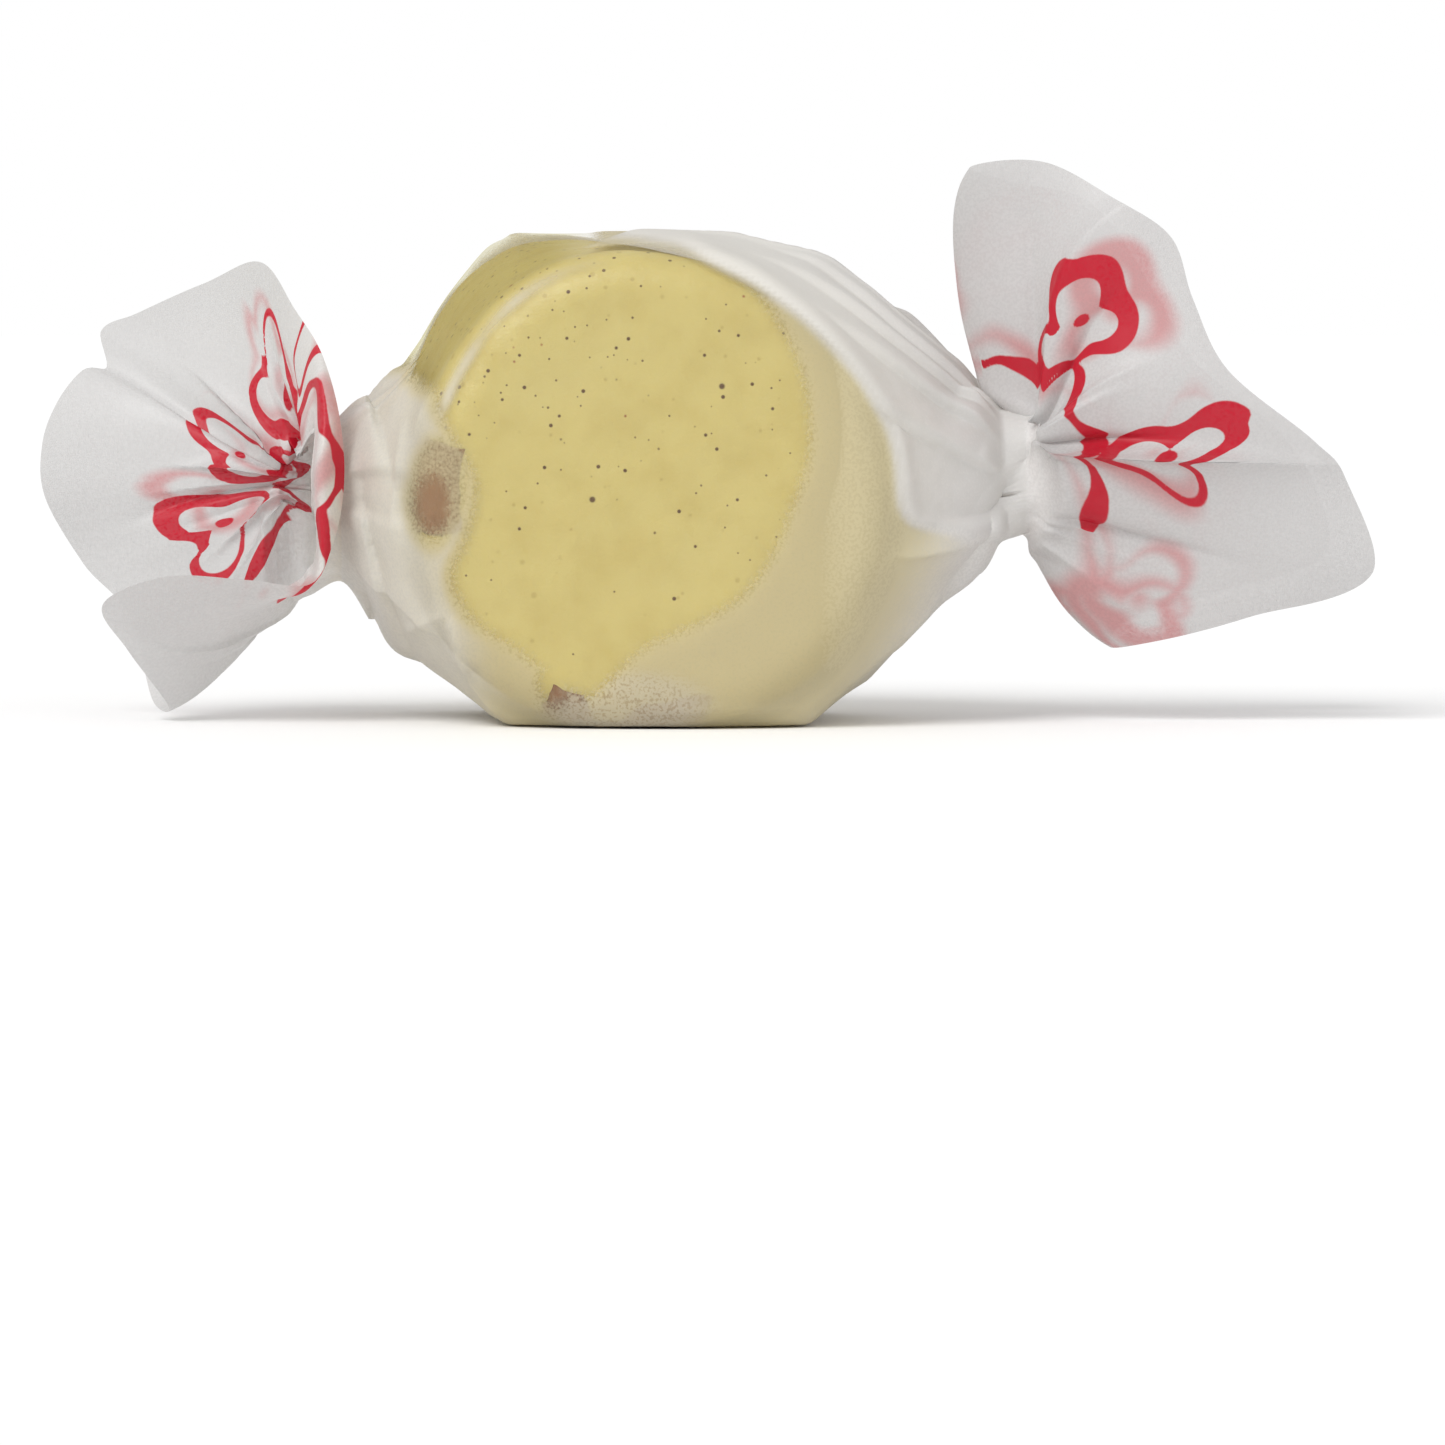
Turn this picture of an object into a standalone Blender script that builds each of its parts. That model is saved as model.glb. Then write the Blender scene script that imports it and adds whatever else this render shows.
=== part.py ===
"""A wrapped taffy: a short round log of pulled candy standing on its rim, in a wax-paper wrapper
that is twisted at both sides.

Blender works in metres, +Z up. X runs from twist to twist, the candy's flat front face looks
along -Y, and the origin is the middle of the flat patch of paper that the candy rests on.
The wrapper is one sheet, so it is one solid: a tube round the candy that narrows to a twisted
neck at each side and opens again into a flared end.
"""

import math

import bmesh
import bpy
import numpy as np

MM = 0.001

# Candy: a round log cut square across
CANDY_RADIUS = 11.6 * MM
CANDY_HALF_DEPTH = 9.7 * MM
CANDY_EDGE = 1.9 * MM  # rounding where the cut face meets the side
CANDY_CENTRE_Z = 11.75 * MM
CANDY_FLOOR = 0.6 * MM  # the paper and its clearance are below the flattened underside
SHEAR_X = -0.12  # the log was cut a little askew, so its back face sits to the left
SHEAR_Z = 0.02
CANDY_SHIFT = -1.16 * MM  # brings the front face's centre to X = 0
CANDY_SQUASH = 0.035  # bulge of the lower corners, as a share of the radius
CORNER_ANGLE = math.radians(118)  # the log is a little square here, more so towards its back
CORNER_RISE = 0.4 * MM
CORNER_GROWTH = 0.045

# Caramel stripes let into the candy's side, each along the whole depth of the log
STRIPE_ANGLES = {"left": 178, "bottom": 264, "right": -14}  # degrees, from +X towards +Z
STRIPE_WIDTH = 8.0 * MM
STRIPE_DEPTH = 1.7 * MM
STRIPE_GAP = 0.3 * MM

# Wrapper
PAPER_WALL = 0.25 * MM
PAPER_CLEARANCE = 0.6 * MM  # from the candy to the outer face of the paper
AROUND = 54  # points round each section
FAN_STEPS = 10  # sections in each flared end
NECK_BORE = 0.45 * MM  # radius that the twisted folds leave open
LEFT_SPAN = 0.9 * MM  # how far the folds stay packed on the candy's side of each neck
RIGHT_SPAN = 2.2 * MM

# Twisted necks, in millimetres: x, top, underside, half depth
LEFT_NECK = [(-15.7, 15.4, 7.8, 3.1)]
RIGHT_NECK = [(16.4, 14.9, 9.0, 3.0), (17.4, 14.7, 9.5, 2.6), (18.6, 15.4, 9.8, 2.7)]

# Corners where folded paper stands off the candy, x, y, z in millimetres
PAPER_CORNERS = [
    (-8.7, 8.2, 24.1),
    (-7.4, 8.8, 24.6),
    (-0.8, 4.0, 24.6),
    (4.2, 0.0, 24.1),
    (8.7, 1.0, 22.8),
    (12.4, 3.0, 20.5),
    (15.1, 4.6, 17.6),
    (15.1, 1.5, 6.9),
    (11.2, 0.0, 2.8),
    (7.6, -7.6, 0.0),
    (7.4, 7.6, 0.0),
    (-7.2, -6.8, 0.0),
    (-7.4, 8.2, 0.0),
    (-8.8, 0.6, 1.3),
    (-10.8, 0.4, 2.3),
    (-13.5, 0.4, 4.1),
    (-14.8, 0.4, 6.1),
]

# Where the left collar draws in above the candy: x, width in x, angle, width in angle, share
COLLAR = {"x": -13.4 * MM, "span": 1.7 * MM, "angle": 85, "spread": 50, "share": 0.30}

STATION_X = [
    -15.7, -15.3, -14.8, -14.3, -13.6, -12.9, -12.2, -11.5, -10.7, -9.8, -8.7, -7.3, -5.6, -3.6,
    -1.2, 1.2, 3.6, 5.6, 7.4, 8.8, 9.9, 10.9, 11.8, 12.7, 13.6, 14.5, 15.3, 16.0, 16.7, 17.4, 18.6,
]  # fmt: skip

# Edge of each flared end, in millimetres: the angle round the neck in degrees, where 0 is the
# front, 90 the top and 180 the back, and the point x, y, z that the paper's edge reaches there
LEFT_EDGE = [
    (28, -15.6, -4.8, 15.2),
    (50, -16.5, -3.2, 18.2),
    (70, -18.0, -1.0, 20.6),
    (90, -19.9, 1.0, 23.0),
    (112, -23.2, 3.0, 21.9),
    (130, -26.5, 4.5, 20.4),
    (145, -27.9, 5.0, 18.7),
    (155, -29.2, 3.6, 17.0),
    (170, -31.0, 3.0, 14.1),
    (188, -30.9, 2.6, 11.1),
    (205, -29.0, 3.0, 7.6),
    (222, -26.5, 2.4, 4.9),
    (234, -25.3, -0.4, 1.0),
    (244, -24.4, -2.0, 0.8),
    (252, -26.2, -4.4, 3.6),
    (264, -27.4, -5.6, 6.0),
    (276, -24.3, -6.4, 7.4),
    (290, -20.3, -6.5, 7.3),
    (306, -17.2, -6.0, 7.0),
    (330, -16.0, -5.6, 8.9),
    (360, -15.4, -5.2, 12.0),
]
RIGHT_EDGE = [
    (5, 32.8, -4.5, 14.1),
    (20, 28.5, -4.6, 17.6),
    (33, 26.8, -4.0, 21.1),
    (47, 25.8, -3.2, 24.1),
    (60, 23.3, -2.4, 25.9),
    (75, 19.5, -1.0, 28.0),
    (90, 15.8, 0.6, 27.8),
    (102, 17.8, 2.2, 27.1),
    (115, 22.0, 3.6, 26.0),
    (135, 25.5, 5.0, 21.2),
    (155, 27.5, 5.2, 17.9),
    (175, 31.5, 5.6, 14.6),
    (195, 33.6, 5.6, 11.6),
    (212, 34.0, 5.0, 8.1),
    (230, 28.8, 4.5, 6.3),
    (250, 24.3, 3.0, 5.1),
    (278, 22.8, -0.6, 3.7),
    (298, 24.8, -2.4, 4.0),
    (318, 29.8, -3.0, 5.2),
    (338, 35.8, -3.0, 7.4),
    (352, 34.5, -4.0, 12.1),
]
FAN_FIRST = 2.2 * MM  # how far the paper runs on along the neck before it flares
FAN_BELLY = 0.09  # how far the rays bow outwards, as a share of their length

# Where the folds of each end meet: the throat's middle and radius in millimetres, and the angles
# between which the paper is drawn into it
LEFT_THROAT = {"at": (-18.2, -1.4, 12.0), "radius": 0.8, "from": 58, "to": 240, "side": -1}
RIGHT_THROAT = {"at": (19.8, -2.2, 13.7), "radius": 0.8, "from": 350, "to": 436, "side": 1}
FAN_ROLL = {-1: 0.30, 1: 0.0}  # how much further each end's short sides bulge, left and right
THROAT_AT = 0.12  # share of the way out at which the paper passes the throat
THROAT_BORE = 0.4  # inner radius of the throat, in millimetres
THROAT_REACH = 0.42  # share of the way out over which the inner skin opens out of the packed folds

# How the paper leans on its way out: angle round the neck and spread in degrees, and the shift
LEFT_LEANS = [
    {"angle": 262, "spread": 34, "start": (-0.2, -0.2, -1.3), "by": (-0.5, -0.5, -2.8)},
    {"angle": 5, "spread": 44, "start": (-0.9, -0.6, 0.0), "by": (-0.8, -2.4, 0.0)},
]
RIGHT_LEANS = [
    {"angle": 95, "spread": 38, "start": (-2.6, 0.6, 0.8), "by": (-3.0, 1.2, 1.3)},
    {"angle": 284, "spread": 44, "start": (-1.7, -0.3, -1.2), "by": (-0.6, -0.3, -0.3)},
]

# Pleats: count round the neck, height at the neck, turn of the folds across the neck in degrees
LEFT_PLEATS = {"count": 4, "height": 0.60 * MM, "turn": 210, "neck": -15.7 * MM}
RIGHT_PLEATS = {"count": 3, "height": 0.80 * MM, "turn": -75, "neck": 17.4 * MM}
PLEAT_REACH_BODY = 5.0 * MM  # the folds die out this far towards the candy
PLEAT_START = 0.16  # the ends' own folds take over from the neck's within this share of the way out

HULL_AROUND = 96  # points round the log where the paper is pulled over it

CREAM_COLOUR = (0.80, 0.70, 0.33)
CARAMEL_COLOUR = (0.45, 0.21, 0.08)
PAPER_COLOUR = (0.86, 0.84, 0.81)


def clear_scene():
    """Removes whatever objects the file holds."""
    for thing in list(bpy.data.objects):
        bpy.data.objects.remove(thing)


def material(name, colour, roughness):
    """A plain Principled material."""
    made = bpy.data.materials.new(name)
    made.use_nodes = True
    shader = made.node_tree.nodes["Principled BSDF"]
    shader.inputs["Base Color"].default_value = (*colour, 1.0)
    shader.inputs["Roughness"].default_value = roughness
    shader.inputs["Metallic"].default_value = 0.0
    return made


def add_object(name, bm, collection, look):
    """Turns a bmesh into a named object with outward faces."""
    bmesh.ops.recalc_face_normals(bm, faces=bm.faces)
    mesh = bpy.data.meshes.new(name)
    bm.to_mesh(mesh)
    bm.free()
    thing = bpy.data.objects.new(name, mesh)
    collection.objects.link(thing)
    if look is not None:
        mesh.materials.append(look)
    return thing


def wrap_angle(angle):
    """The same angle between half a turn back and half a turn on."""
    return np.mod(angle + math.pi, math.tau) - math.pi


def candy_radius(angle, y):
    """Radius of the log at an angle from +X towards +Z, with the lower corners squashed out."""
    lower = np.exp(-(((angle + math.radians(52)) / 0.42) ** 2))
    lower += np.exp(-(((angle + math.radians(128)) / 0.42) ** 2))
    corner = np.exp(-((wrap_angle(angle - CORNER_ANGLE) / 0.40) ** 2))
    rise = CORNER_RISE + CORNER_GROWTH * (y + CANDY_HALF_DEPTH)
    return CANDY_RADIUS * (1 + CANDY_SQUASH * lower + 0.008 * np.cos(3 * angle + 0.6)) + rise * corner


def candy_centre(y):
    """Centre of the log's section at depth y."""
    return CANDY_SHIFT + SHEAR_X * y, CANDY_CENTRE_Z + SHEAR_Z * y


def candy_rings(grow, around, floor):
    """Rings of points on the log, grown by a distance, with rounded edges and a flat underside."""
    inner = CANDY_HALF_DEPTH - CANDY_EDGE
    edge = CANDY_EDGE + grow
    rings = []
    for turn in np.radians([-90, -60, -30, 0, 0, 30, 60, 90]):
        side = -1 if len(rings) < 4 else 1
        y = side * inner + edge * math.sin(turn)
        cx, cz = candy_centre(y)
        ring = []
        for i in range(around):
            angle = -math.pi + math.tau * i / around
            reach = float(candy_radius(np.array(angle), y)) - CANDY_EDGE + edge * math.cos(turn)
            ring.append((cx + reach * math.cos(angle), y, max(cz + reach * math.sin(angle), floor)))
        rings.append(ring)
    return rings


def candy_form(around=48):
    """The log as a closed bmesh."""
    bm = bmesh.new()
    rings = [[bm.verts.new(point) for point in ring] for ring in candy_rings(0.0, around, CANDY_FLOOR)]
    bmesh_loft(bm, rings)
    bm.faces.new(rings[0])
    bm.faces.new(rings[-1])
    bmesh.ops.triangulate(bm, faces=[f for f in bm.faces if len(f.verts) > 4])
    return bm


def bmesh_loft(bm, rings):
    """Joins each ring of vertices to the next with a band of quads."""
    for first, second in zip(rings, rings[1:]):
        for i in range(len(first)):
            j = (i + 1) % len(first)
            bm.faces.new((first[i], first[j], second[j], second[i]))


def stripe_block(name, angle, gap, collection):
    """A block across the candy's rim at an angle, as deep as the caramel and grown by a gap."""
    top = CANDY_RADIUS + 4 * MM
    low = CANDY_RADIUS - STRIPE_DEPTH - gap
    bpy.ops.mesh.primitive_cube_add(size=1)
    block = bpy.context.object
    block.name = name
    block.scale = (top - low, 4 * CANDY_HALF_DEPTH, STRIPE_WIDTH + 2 * gap)
    turn = math.radians(angle)
    middle = (top + low) / 2
    block.location = (middle * math.cos(turn), 0, CANDY_CENTRE_Z + middle * math.sin(turn))
    block.rotation_euler = (0, -turn, 0)
    bpy.ops.object.transform_apply(location=False, rotation=True, scale=True)
    for vertex in block.data.vertices:
        vertex.co.x += CANDY_SHIFT + SHEAR_X * vertex.co.y
    for owner in list(block.users_collection):
        owner.objects.unlink(block)
    collection.objects.link(block)
    block.hide_render = True
    block.display_type = "WIRE"
    return block


def boolean(thing, cutter, operation):
    """Adds a Boolean modifier."""
    made = thing.modifiers.new(operation.title(), "BOOLEAN")
    made.operation = operation
    made.solver = "EXACT"
    made.object = cutter


def add_candy(collection, cutters):
    """The cream log with a channel for each stripe, and the caramel stripes in the channels."""
    cream = material("taffy_cream", CREAM_COLOUR, 0.45)
    caramel = material("taffy_caramel", CARAMEL_COLOUR, 0.35)
    log = add_object("taffy_cream", candy_form(), collection, cream)
    for side, angle in STRIPE_ANGLES.items():
        channel = stripe_block(f"channel_{side}", angle, STRIPE_GAP, cutters)
        boolean(log, channel, "DIFFERENCE")
        block = stripe_block(f"block_{side}", angle, 0.0, cutters)
        stripe = add_object(f"caramel_{side}", candy_form(), collection, caramel)
        boolean(stripe, block, "INTERSECT")


def smooth_step(t):
    """0 below 0, 1 above 1, and smooth between."""
    t = np.clip(t, 0, 1)
    return t * t * (3 - 2 * t)


def neck_section(neck, x):
    """Half height, half depth and centre height of a neck at x, all in metres."""
    table = np.array(neck)
    top, low, depth = (np.interp(x / MM, table[:, 0], table[:, k]) for k in (1, 2, 3))
    return (top - low) / 2 * MM, depth * MM, (top + low) / 2 * MM


def paper_planes():
    """Normals and offsets of the planes that bound the tight paper: the convex hull of the candy,
    the necks and the corners of folded paper."""
    points = [point for ring in candy_rings(PAPER_CLEARANCE, HULL_AROUND, -PAPER_CLEARANCE) for point in ring]
    points += [(x * MM, y * MM, z * MM) for x, y, z in PAPER_CORNERS]
    sections = [(LEFT_NECK, LEFT_NECK[0][0]), (RIGHT_NECK, RIGHT_NECK[0][0]), (RIGHT_NECK, RIGHT_NECK[1][0])]
    for neck, x in sections:
        half, depth, centre = neck_section(neck, x * MM)
        for i in range(24):
            turn = math.tau * i / 24
            points.append((x * MM, -depth * math.cos(turn), centre + half * math.sin(turn)))
    hull = bmesh.new()
    for point in points:
        hull.verts.new(point)
    bmesh.ops.convex_hull(hull, input=hull.verts)
    middle = np.mean(points, axis=0)
    corners = np.array([[tuple(v.co) for v in face.verts[:3]] for face in hull.faces])
    hull.free()
    normal = np.cross(corners[:, 1] - corners[:, 0], corners[:, 2] - corners[:, 0])
    normal /= np.maximum(np.linalg.norm(normal, axis=1), 1e-15)[:, None]
    offset = (normal * corners[:, 0]).sum(1)
    inward = (normal * middle).sum(1) > offset
    normal[inward] *= -1
    offset[inward] *= -1
    return normal, offset


def section_centre(x):
    """Height that the rays of each section start from."""
    left = neck_section(LEFT_NECK, np.full_like(x, LEFT_NECK[0][0] * MM))[2]
    right = neck_section(RIGHT_NECK, x)[2]
    to_left = smooth_step((-10 * MM - x) / (5.7 * MM))
    to_right = smooth_step((x - 10 * MM) / (6.4 * MM))
    return CANDY_CENTRE_Z * (1 - to_left - to_right) + left * to_left + right * to_right


def section_reach(x, angle, centre):
    """Distance from each section's centre to the tight paper."""
    normal, offset = paper_planes()
    ray = np.stack([-np.cos(angle), np.sin(angle)], -1)
    toward = ray @ normal[:, 1:].T
    start = x[..., None] * normal[:, 0] + centre[..., None] * normal[:, 2]
    with np.errstate(divide="ignore", invalid="ignore"):
        hit = np.where(toward > 1e-9, (offset - start) / toward, np.inf)
    reach = hit.min(-1)
    half, depth, _ = neck_section(RIGHT_NECK, x)
    knot = 1 / np.hypot(np.cos(angle) / depth, np.sin(angle) / half)
    return np.where(x > RIGHT_NECK[1][0] * MM, knot, reach)


def collar_share(x, angle):
    """Share of the reach that is left where the left collar draws in."""
    along = (x - COLLAR["x"]) / COLLAR["span"]
    round_it = (np.degrees(angle) - COLLAR["angle"]) / COLLAR["spread"]
    return 1 - COLLAR["share"] * np.exp(-(along**2) - round_it**2)


def fold_wave(turns):
    """Paper gathered into folds: round backs and sharp valleys, each fold leaning to one side."""
    part = np.mod(turns, 1.0)
    lean = 0.72
    rise = np.sin(0.5 * math.pi * part / lean)
    fall = np.cos(0.5 * math.pi * (part - lean) / (1 - lean))
    return np.where(part < lean, rise, fall)


def pleats(angle, along, kind):
    """Height of the folds at a signed distance along x from the neck."""
    wander = angle + 0.22 * np.sin(angle + 1.3) + 0.12 * np.sin(2 * angle + 0.4)
    turn = math.radians(kind["turn"]) * np.tanh(along / (3 * MM))
    turns = kind["count"] * (wander + turn) / math.tau
    return kind["height"] * fold_wave(turns)


def tube_points(angle):
    """Outer and inner points of the tube between the two necks, one row for each station."""
    x = np.repeat(np.array(STATION_X)[:, None] * MM, len(angle), axis=1)
    turned = np.repeat(angle[None, :], len(STATION_X), axis=0)
    centre = section_centre(x)
    reach = section_reach(x, turned, centre) * collar_share(x, turned)
    folds = np.zeros_like(reach)
    for kind, side in ((LEFT_PLEATS, 1), (RIGHT_PLEATS, -1)):
        along = (x - kind["neck"]) * side
        share = 1 - smooth_step((along - 1.0 * MM) / PLEAT_REACH_BODY)
        folds += pleats(turned, x - kind["neck"], kind) * share
    folded = reach + folds
    outer = np.stack([x, -np.cos(turned) * folded, centre + np.sin(turned) * folded], -1)
    outer[..., 2] = np.maximum(outer[..., 2], 0.0)
    packed = 1 - smooth_step((x - LEFT_PLEATS["neck"]) / LEFT_SPAN)
    packed += 1 - smooth_step((RIGHT_PLEATS["neck"] - x) / RIGHT_SPAN)
    open_reach = (reach - PAPER_WALL) * (1 - packed) + NECK_BORE * packed
    inner = np.stack([x, -np.cos(turned) * open_reach, centre + np.sin(turned) * open_reach], -1)
    inner[..., 2] = np.maximum(inner[..., 2], PAPER_WALL)
    return outer, inner


def edge_point(table, angle):
    """Points of a paper edge at each angle, on a smooth closed curve through the table's points."""
    rows = np.array(sorted((row[0] % 360, *row[1:]) for row in table))
    knots = np.concatenate([rows[-2:, 0] - 360, rows[:, 0], rows[:2, 0] + 360])
    points = np.concatenate([rows[-2:, 1:], rows[:, 1:], rows[:2, 1:]]) * MM
    slopes = np.zeros_like(points)
    slopes[1:-1] = (points[2:] - points[:-2]) / (knots[2:] - knots[:-2])[:, None]
    at = np.mod(np.degrees(angle), 360)
    before = np.searchsorted(knots, at, side="right") - 1
    span = (knots[before + 1] - knots[before])[:, None]
    t = (at - knots[before])[:, None] / span
    start, end = points[before], points[before + 1]
    value = start * (2 * t**3 - 3 * t**2 + 1) + end * (3 * t**2 - 2 * t**3)
    return value + span * (slopes[before] * (t**3 - 2 * t**2 + t) + slopes[before + 1] * (t**3 - t**2))


def surface_normals(rows):
    """Unit normals of a closed grid of points, from central differences."""
    around = np.roll(rows, -1, axis=1) - np.roll(rows, 1, axis=1)
    along = np.gradient(rows, axis=0)
    normal = np.cross(around, along)
    return normal / np.maximum(np.linalg.norm(normal, axis=-1), 1e-12)[..., None]


def throat_share(angle, throat):
    """How far the paper at each angle is drawn into the throat, 0 to 1."""
    middle = math.radians((throat["from"] + throat["to"]) / 2)
    half = math.radians((throat["to"] - throat["from"]) / 2)
    return 1 - smooth_step((np.abs(wrap_angle(angle - middle)) - half + 0.25) / 0.5)


def throat_ring(angle, throat, radius):
    """Points round the throat, whose mouth looks outwards and towards the front."""
    across = np.array([0.55 * -throat["side"], -0.83, 0.0])
    ring = np.cos(angle)[:, None] * across + np.sin(angle)[:, None] * np.array([0, 0, 1.0])
    return (np.array(throat["at"]) + radius * ring) * MM


def along_average(rows, times):
    """Evens out the way the paper runs outwards, with its first and last rows kept."""
    for _ in range(times):
        middle = (rows[:-2] + 2 * rows[1:-1] + rows[2:]) / 4
        rows = np.concatenate([rows[:1], middle, rows[-1:]])
    return rows


def lean_share(angle, lean):
    """How far the paper at each angle leans, 0 to 1."""
    off = wrap_angle(angle - math.radians(lean["angle"])) / math.radians(lean["spread"])
    return np.exp(-(off**2))


def lean_shift(angle, leans, kind):
    """How far all the leans of an end shift the paper at each angle."""
    return sum(lean_share(angle, lean)[:, None] * np.array(lean[kind]) * MM for lean in leans)


def calm_share(angle, leans):
    """How much of its folds the paper keeps at each angle: the paper that leans is smoother."""
    return 1 - 0.75 * np.minimum(sum(lean_share(angle, lean) for lean in leans), 1)


def fan_sheet(angle, ring, edge, throat, radius, leans, count):
    """The smooth sheet of a flared end: from the neck past the throat and out to the edge."""
    away = ring - ring.mean(0)
    away[:, 0] = 0
    away /= np.linalg.norm(away, axis=1)[:, None]
    length = np.linalg.norm(edge - ring, axis=1)[:, None]
    drawn = throat_share(angle, throat)[:, None]
    first = ring + np.array([throat["side"], 0, 0]) * np.minimum(FAN_FIRST, 0.3 * length)
    first = first + lean_shift(angle, leans, "start")
    first = first * (1 - drawn) + throat_ring(angle, throat, radius) * drawn
    belly = FAN_BELLY + FAN_ROLL[throat["side"]] * (1 - drawn) * np.exp(-((length / (6 * MM)) ** 2))
    bend = 0.45 * first + 0.55 * edge + away * belly * length + lean_shift(angle, leans, "by")
    steps = np.linspace(0, 1, count + 1)
    steps = steps * (0.75 + 0.25 * steps)
    rows = []
    for step in steps:
        u = max(step - THROAT_AT, 0) / (1 - THROAT_AT)
        near = min(step / THROAT_AT, 1)
        start = ring * (1 - near) + first * near
        rows.append((1 - u) ** 2 * start + 2 * u * (1 - u) * bend + u**2 * edge)
    return along_average(np.array(rows), max(count // 6, 1)), away, steps[:, None]


def fan_points(angle, ring, inner_ring, table, kind, throat, leans):
    """Outer and inner points of a flared end, one row for each step out from the neck."""
    edge = edge_point(table, angle)
    sheet, away, share = fan_sheet(angle, ring, edge, throat, throat["radius"], leans, FAN_STEPS)
    bore = fan_sheet(angle, inner_ring, edge, throat, THROAT_BORE, leans, FAN_STEPS)[0]
    normal = surface_normals(sheet)
    normal *= np.sign((normal[1] * away).sum(-1).mean())
    turned = np.repeat(angle[None, :], len(share), axis=0)
    along = np.repeat(ring[0, 0] - kind["neck"] + share * 9 * MM * throat["side"], len(angle), axis=1)
    lift = pleats(turned, along, kind) * smooth_step(share / PLEAT_START) * (1 - smooth_step(share / 0.7))
    lift *= 1 - (1 - calm_share(angle, leans)) * smooth_step(share / 0.2)
    outer = sheet + normal * lift[..., None]
    opened = smooth_step(share / THROAT_REACH)[..., None]
    inner = (outer - normal * PAPER_WALL) * opened + bore * (1 - opened)
    return outer[1:], inner[1:]


def add_wrapper(collection):
    """The wax-paper sheet: outer and inner skins joined round the paper's two edges."""
    angle = np.arange(AROUND) * math.tau / AROUND
    outer, inner = tube_points(angle)
    left = fan_points(angle, outer[0], inner[0], LEFT_EDGE, LEFT_PLEATS, LEFT_THROAT, LEFT_LEANS)
    right = fan_points(angle, outer[-1], inner[-1], RIGHT_EDGE, RIGHT_PLEATS, RIGHT_THROAT, RIGHT_LEANS)
    outside = np.concatenate([left[0][::-1], outer, right[0]])
    inside = np.concatenate([left[1][::-1], inner, right[1]])
    bm = bmesh.new()
    rings = [[bm.verts.new(p) for p in row] for row in outside]
    rings += [[bm.verts.new(p) for p in row] for row in inside[::-1]]
    bmesh_loft(bm, rings + rings[:1])
    bmesh.ops.triangulate(bm, faces=bm.faces)
    return add_object("wrapper", bm, collection, material("wax_paper", PAPER_COLOUR, 0.4))


def main():
    clear_scene()
    parts = bpy.data.collections.new("wrapped_taffy")
    cutters = bpy.data.collections.new("cutters")
    bpy.context.scene.collection.children.link(parts)
    bpy.context.scene.collection.children.link(cutters)
    add_candy(parts, cutters)
    add_wrapper(parts)


main()
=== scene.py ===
"""Looks of the wrapped taffy: a round log of pulled candy under wax paper twisted at both sides.

Metres, +Z up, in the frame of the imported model. The paper is one thin sheet. It is pulled tight
over the candy, gathered into a twisted neck at each side, and flares into a printed end.
"""

import math
import bmesh
import bpy
import numpy as np
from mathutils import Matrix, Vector, noise


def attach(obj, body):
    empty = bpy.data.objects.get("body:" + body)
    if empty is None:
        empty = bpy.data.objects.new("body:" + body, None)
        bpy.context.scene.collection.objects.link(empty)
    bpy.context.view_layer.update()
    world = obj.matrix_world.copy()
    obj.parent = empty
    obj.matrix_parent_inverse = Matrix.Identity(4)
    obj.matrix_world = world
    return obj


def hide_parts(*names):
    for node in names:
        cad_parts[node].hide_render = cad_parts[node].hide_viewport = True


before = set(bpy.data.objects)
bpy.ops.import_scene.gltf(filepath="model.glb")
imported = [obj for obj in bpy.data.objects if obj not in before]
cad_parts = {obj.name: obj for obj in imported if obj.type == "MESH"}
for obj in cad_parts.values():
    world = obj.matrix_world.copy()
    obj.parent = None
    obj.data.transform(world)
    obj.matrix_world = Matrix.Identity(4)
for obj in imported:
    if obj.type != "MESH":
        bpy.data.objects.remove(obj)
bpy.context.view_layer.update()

MM = 0.001

# Candy: a round log cut square across
CANDY_RADIUS = 11.6 * MM
CANDY_HALF_DEPTH = 9.7 * MM
CANDY_EDGE = 1.9 * MM
CANDY_CENTRE_Z = 11.75 * MM
CANDY_FLOOR = 0.3 * MM
SHEAR_X = -0.12  # how far the log drifts sideways and up towards its back, as shares of the depth
SHEAR_Z = 0.02
CANDY_SHIFT = -1.16 * MM
CANDY_SQUASH = 0.035  # how much fuller the log is at its two lower corners
LOWER_CORNERS = (math.radians(-52), math.radians(-128))
CORNER_SPREAD = 0.42
CORNER_ANGLE = math.radians(118)  # the log is a little square here, more so towards its back
UPPER_SPREAD = 0.40
CORNER_RISE = 0.4 * MM
CORNER_GROWTH = 0.045
THREE_SIDED = 0.008
CANDY_GROW = 0.22 * MM  # the shown candy fills the CAD solid's clearance, up to the paper
CANDY_LUMPS = 0.10 * MM
CANDY_AROUND = 300
CANDY_FACE_RINGS = 46
CANDY_SIDE_RINGS = 70
CANDY_RIM_RINGS = 12

# Caramel stripes on the candy's side: the angle in degrees, the width in millimetres, and how
# far in millimetres the stripe smears over the rim onto the front face
STRIPES = {"left": (178, 4.6, 0.1), "bottom": (264, 8.4, -0.5), "right": (-14, 7.0, -1.8)}
STRIPE_DIPS = {"bottom": (258.5, 4.5, 2.6)}  # where a stripe begins deeper: angle, spread, depth
STRIPE_FACE_ROWS = 6
STRIPE_RIM_ROWS = 14
STRIPE_SIDE_ROWS = 60
STRIPE_ACROSS = 90
STRIPE_SPARE = 1.16  # half widths of a stripe that its patch covers, for the uneven border
STRIPE_ON_FACE = 0.4 * MM
STRIPE_PROUD = 0.10 * MM

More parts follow.
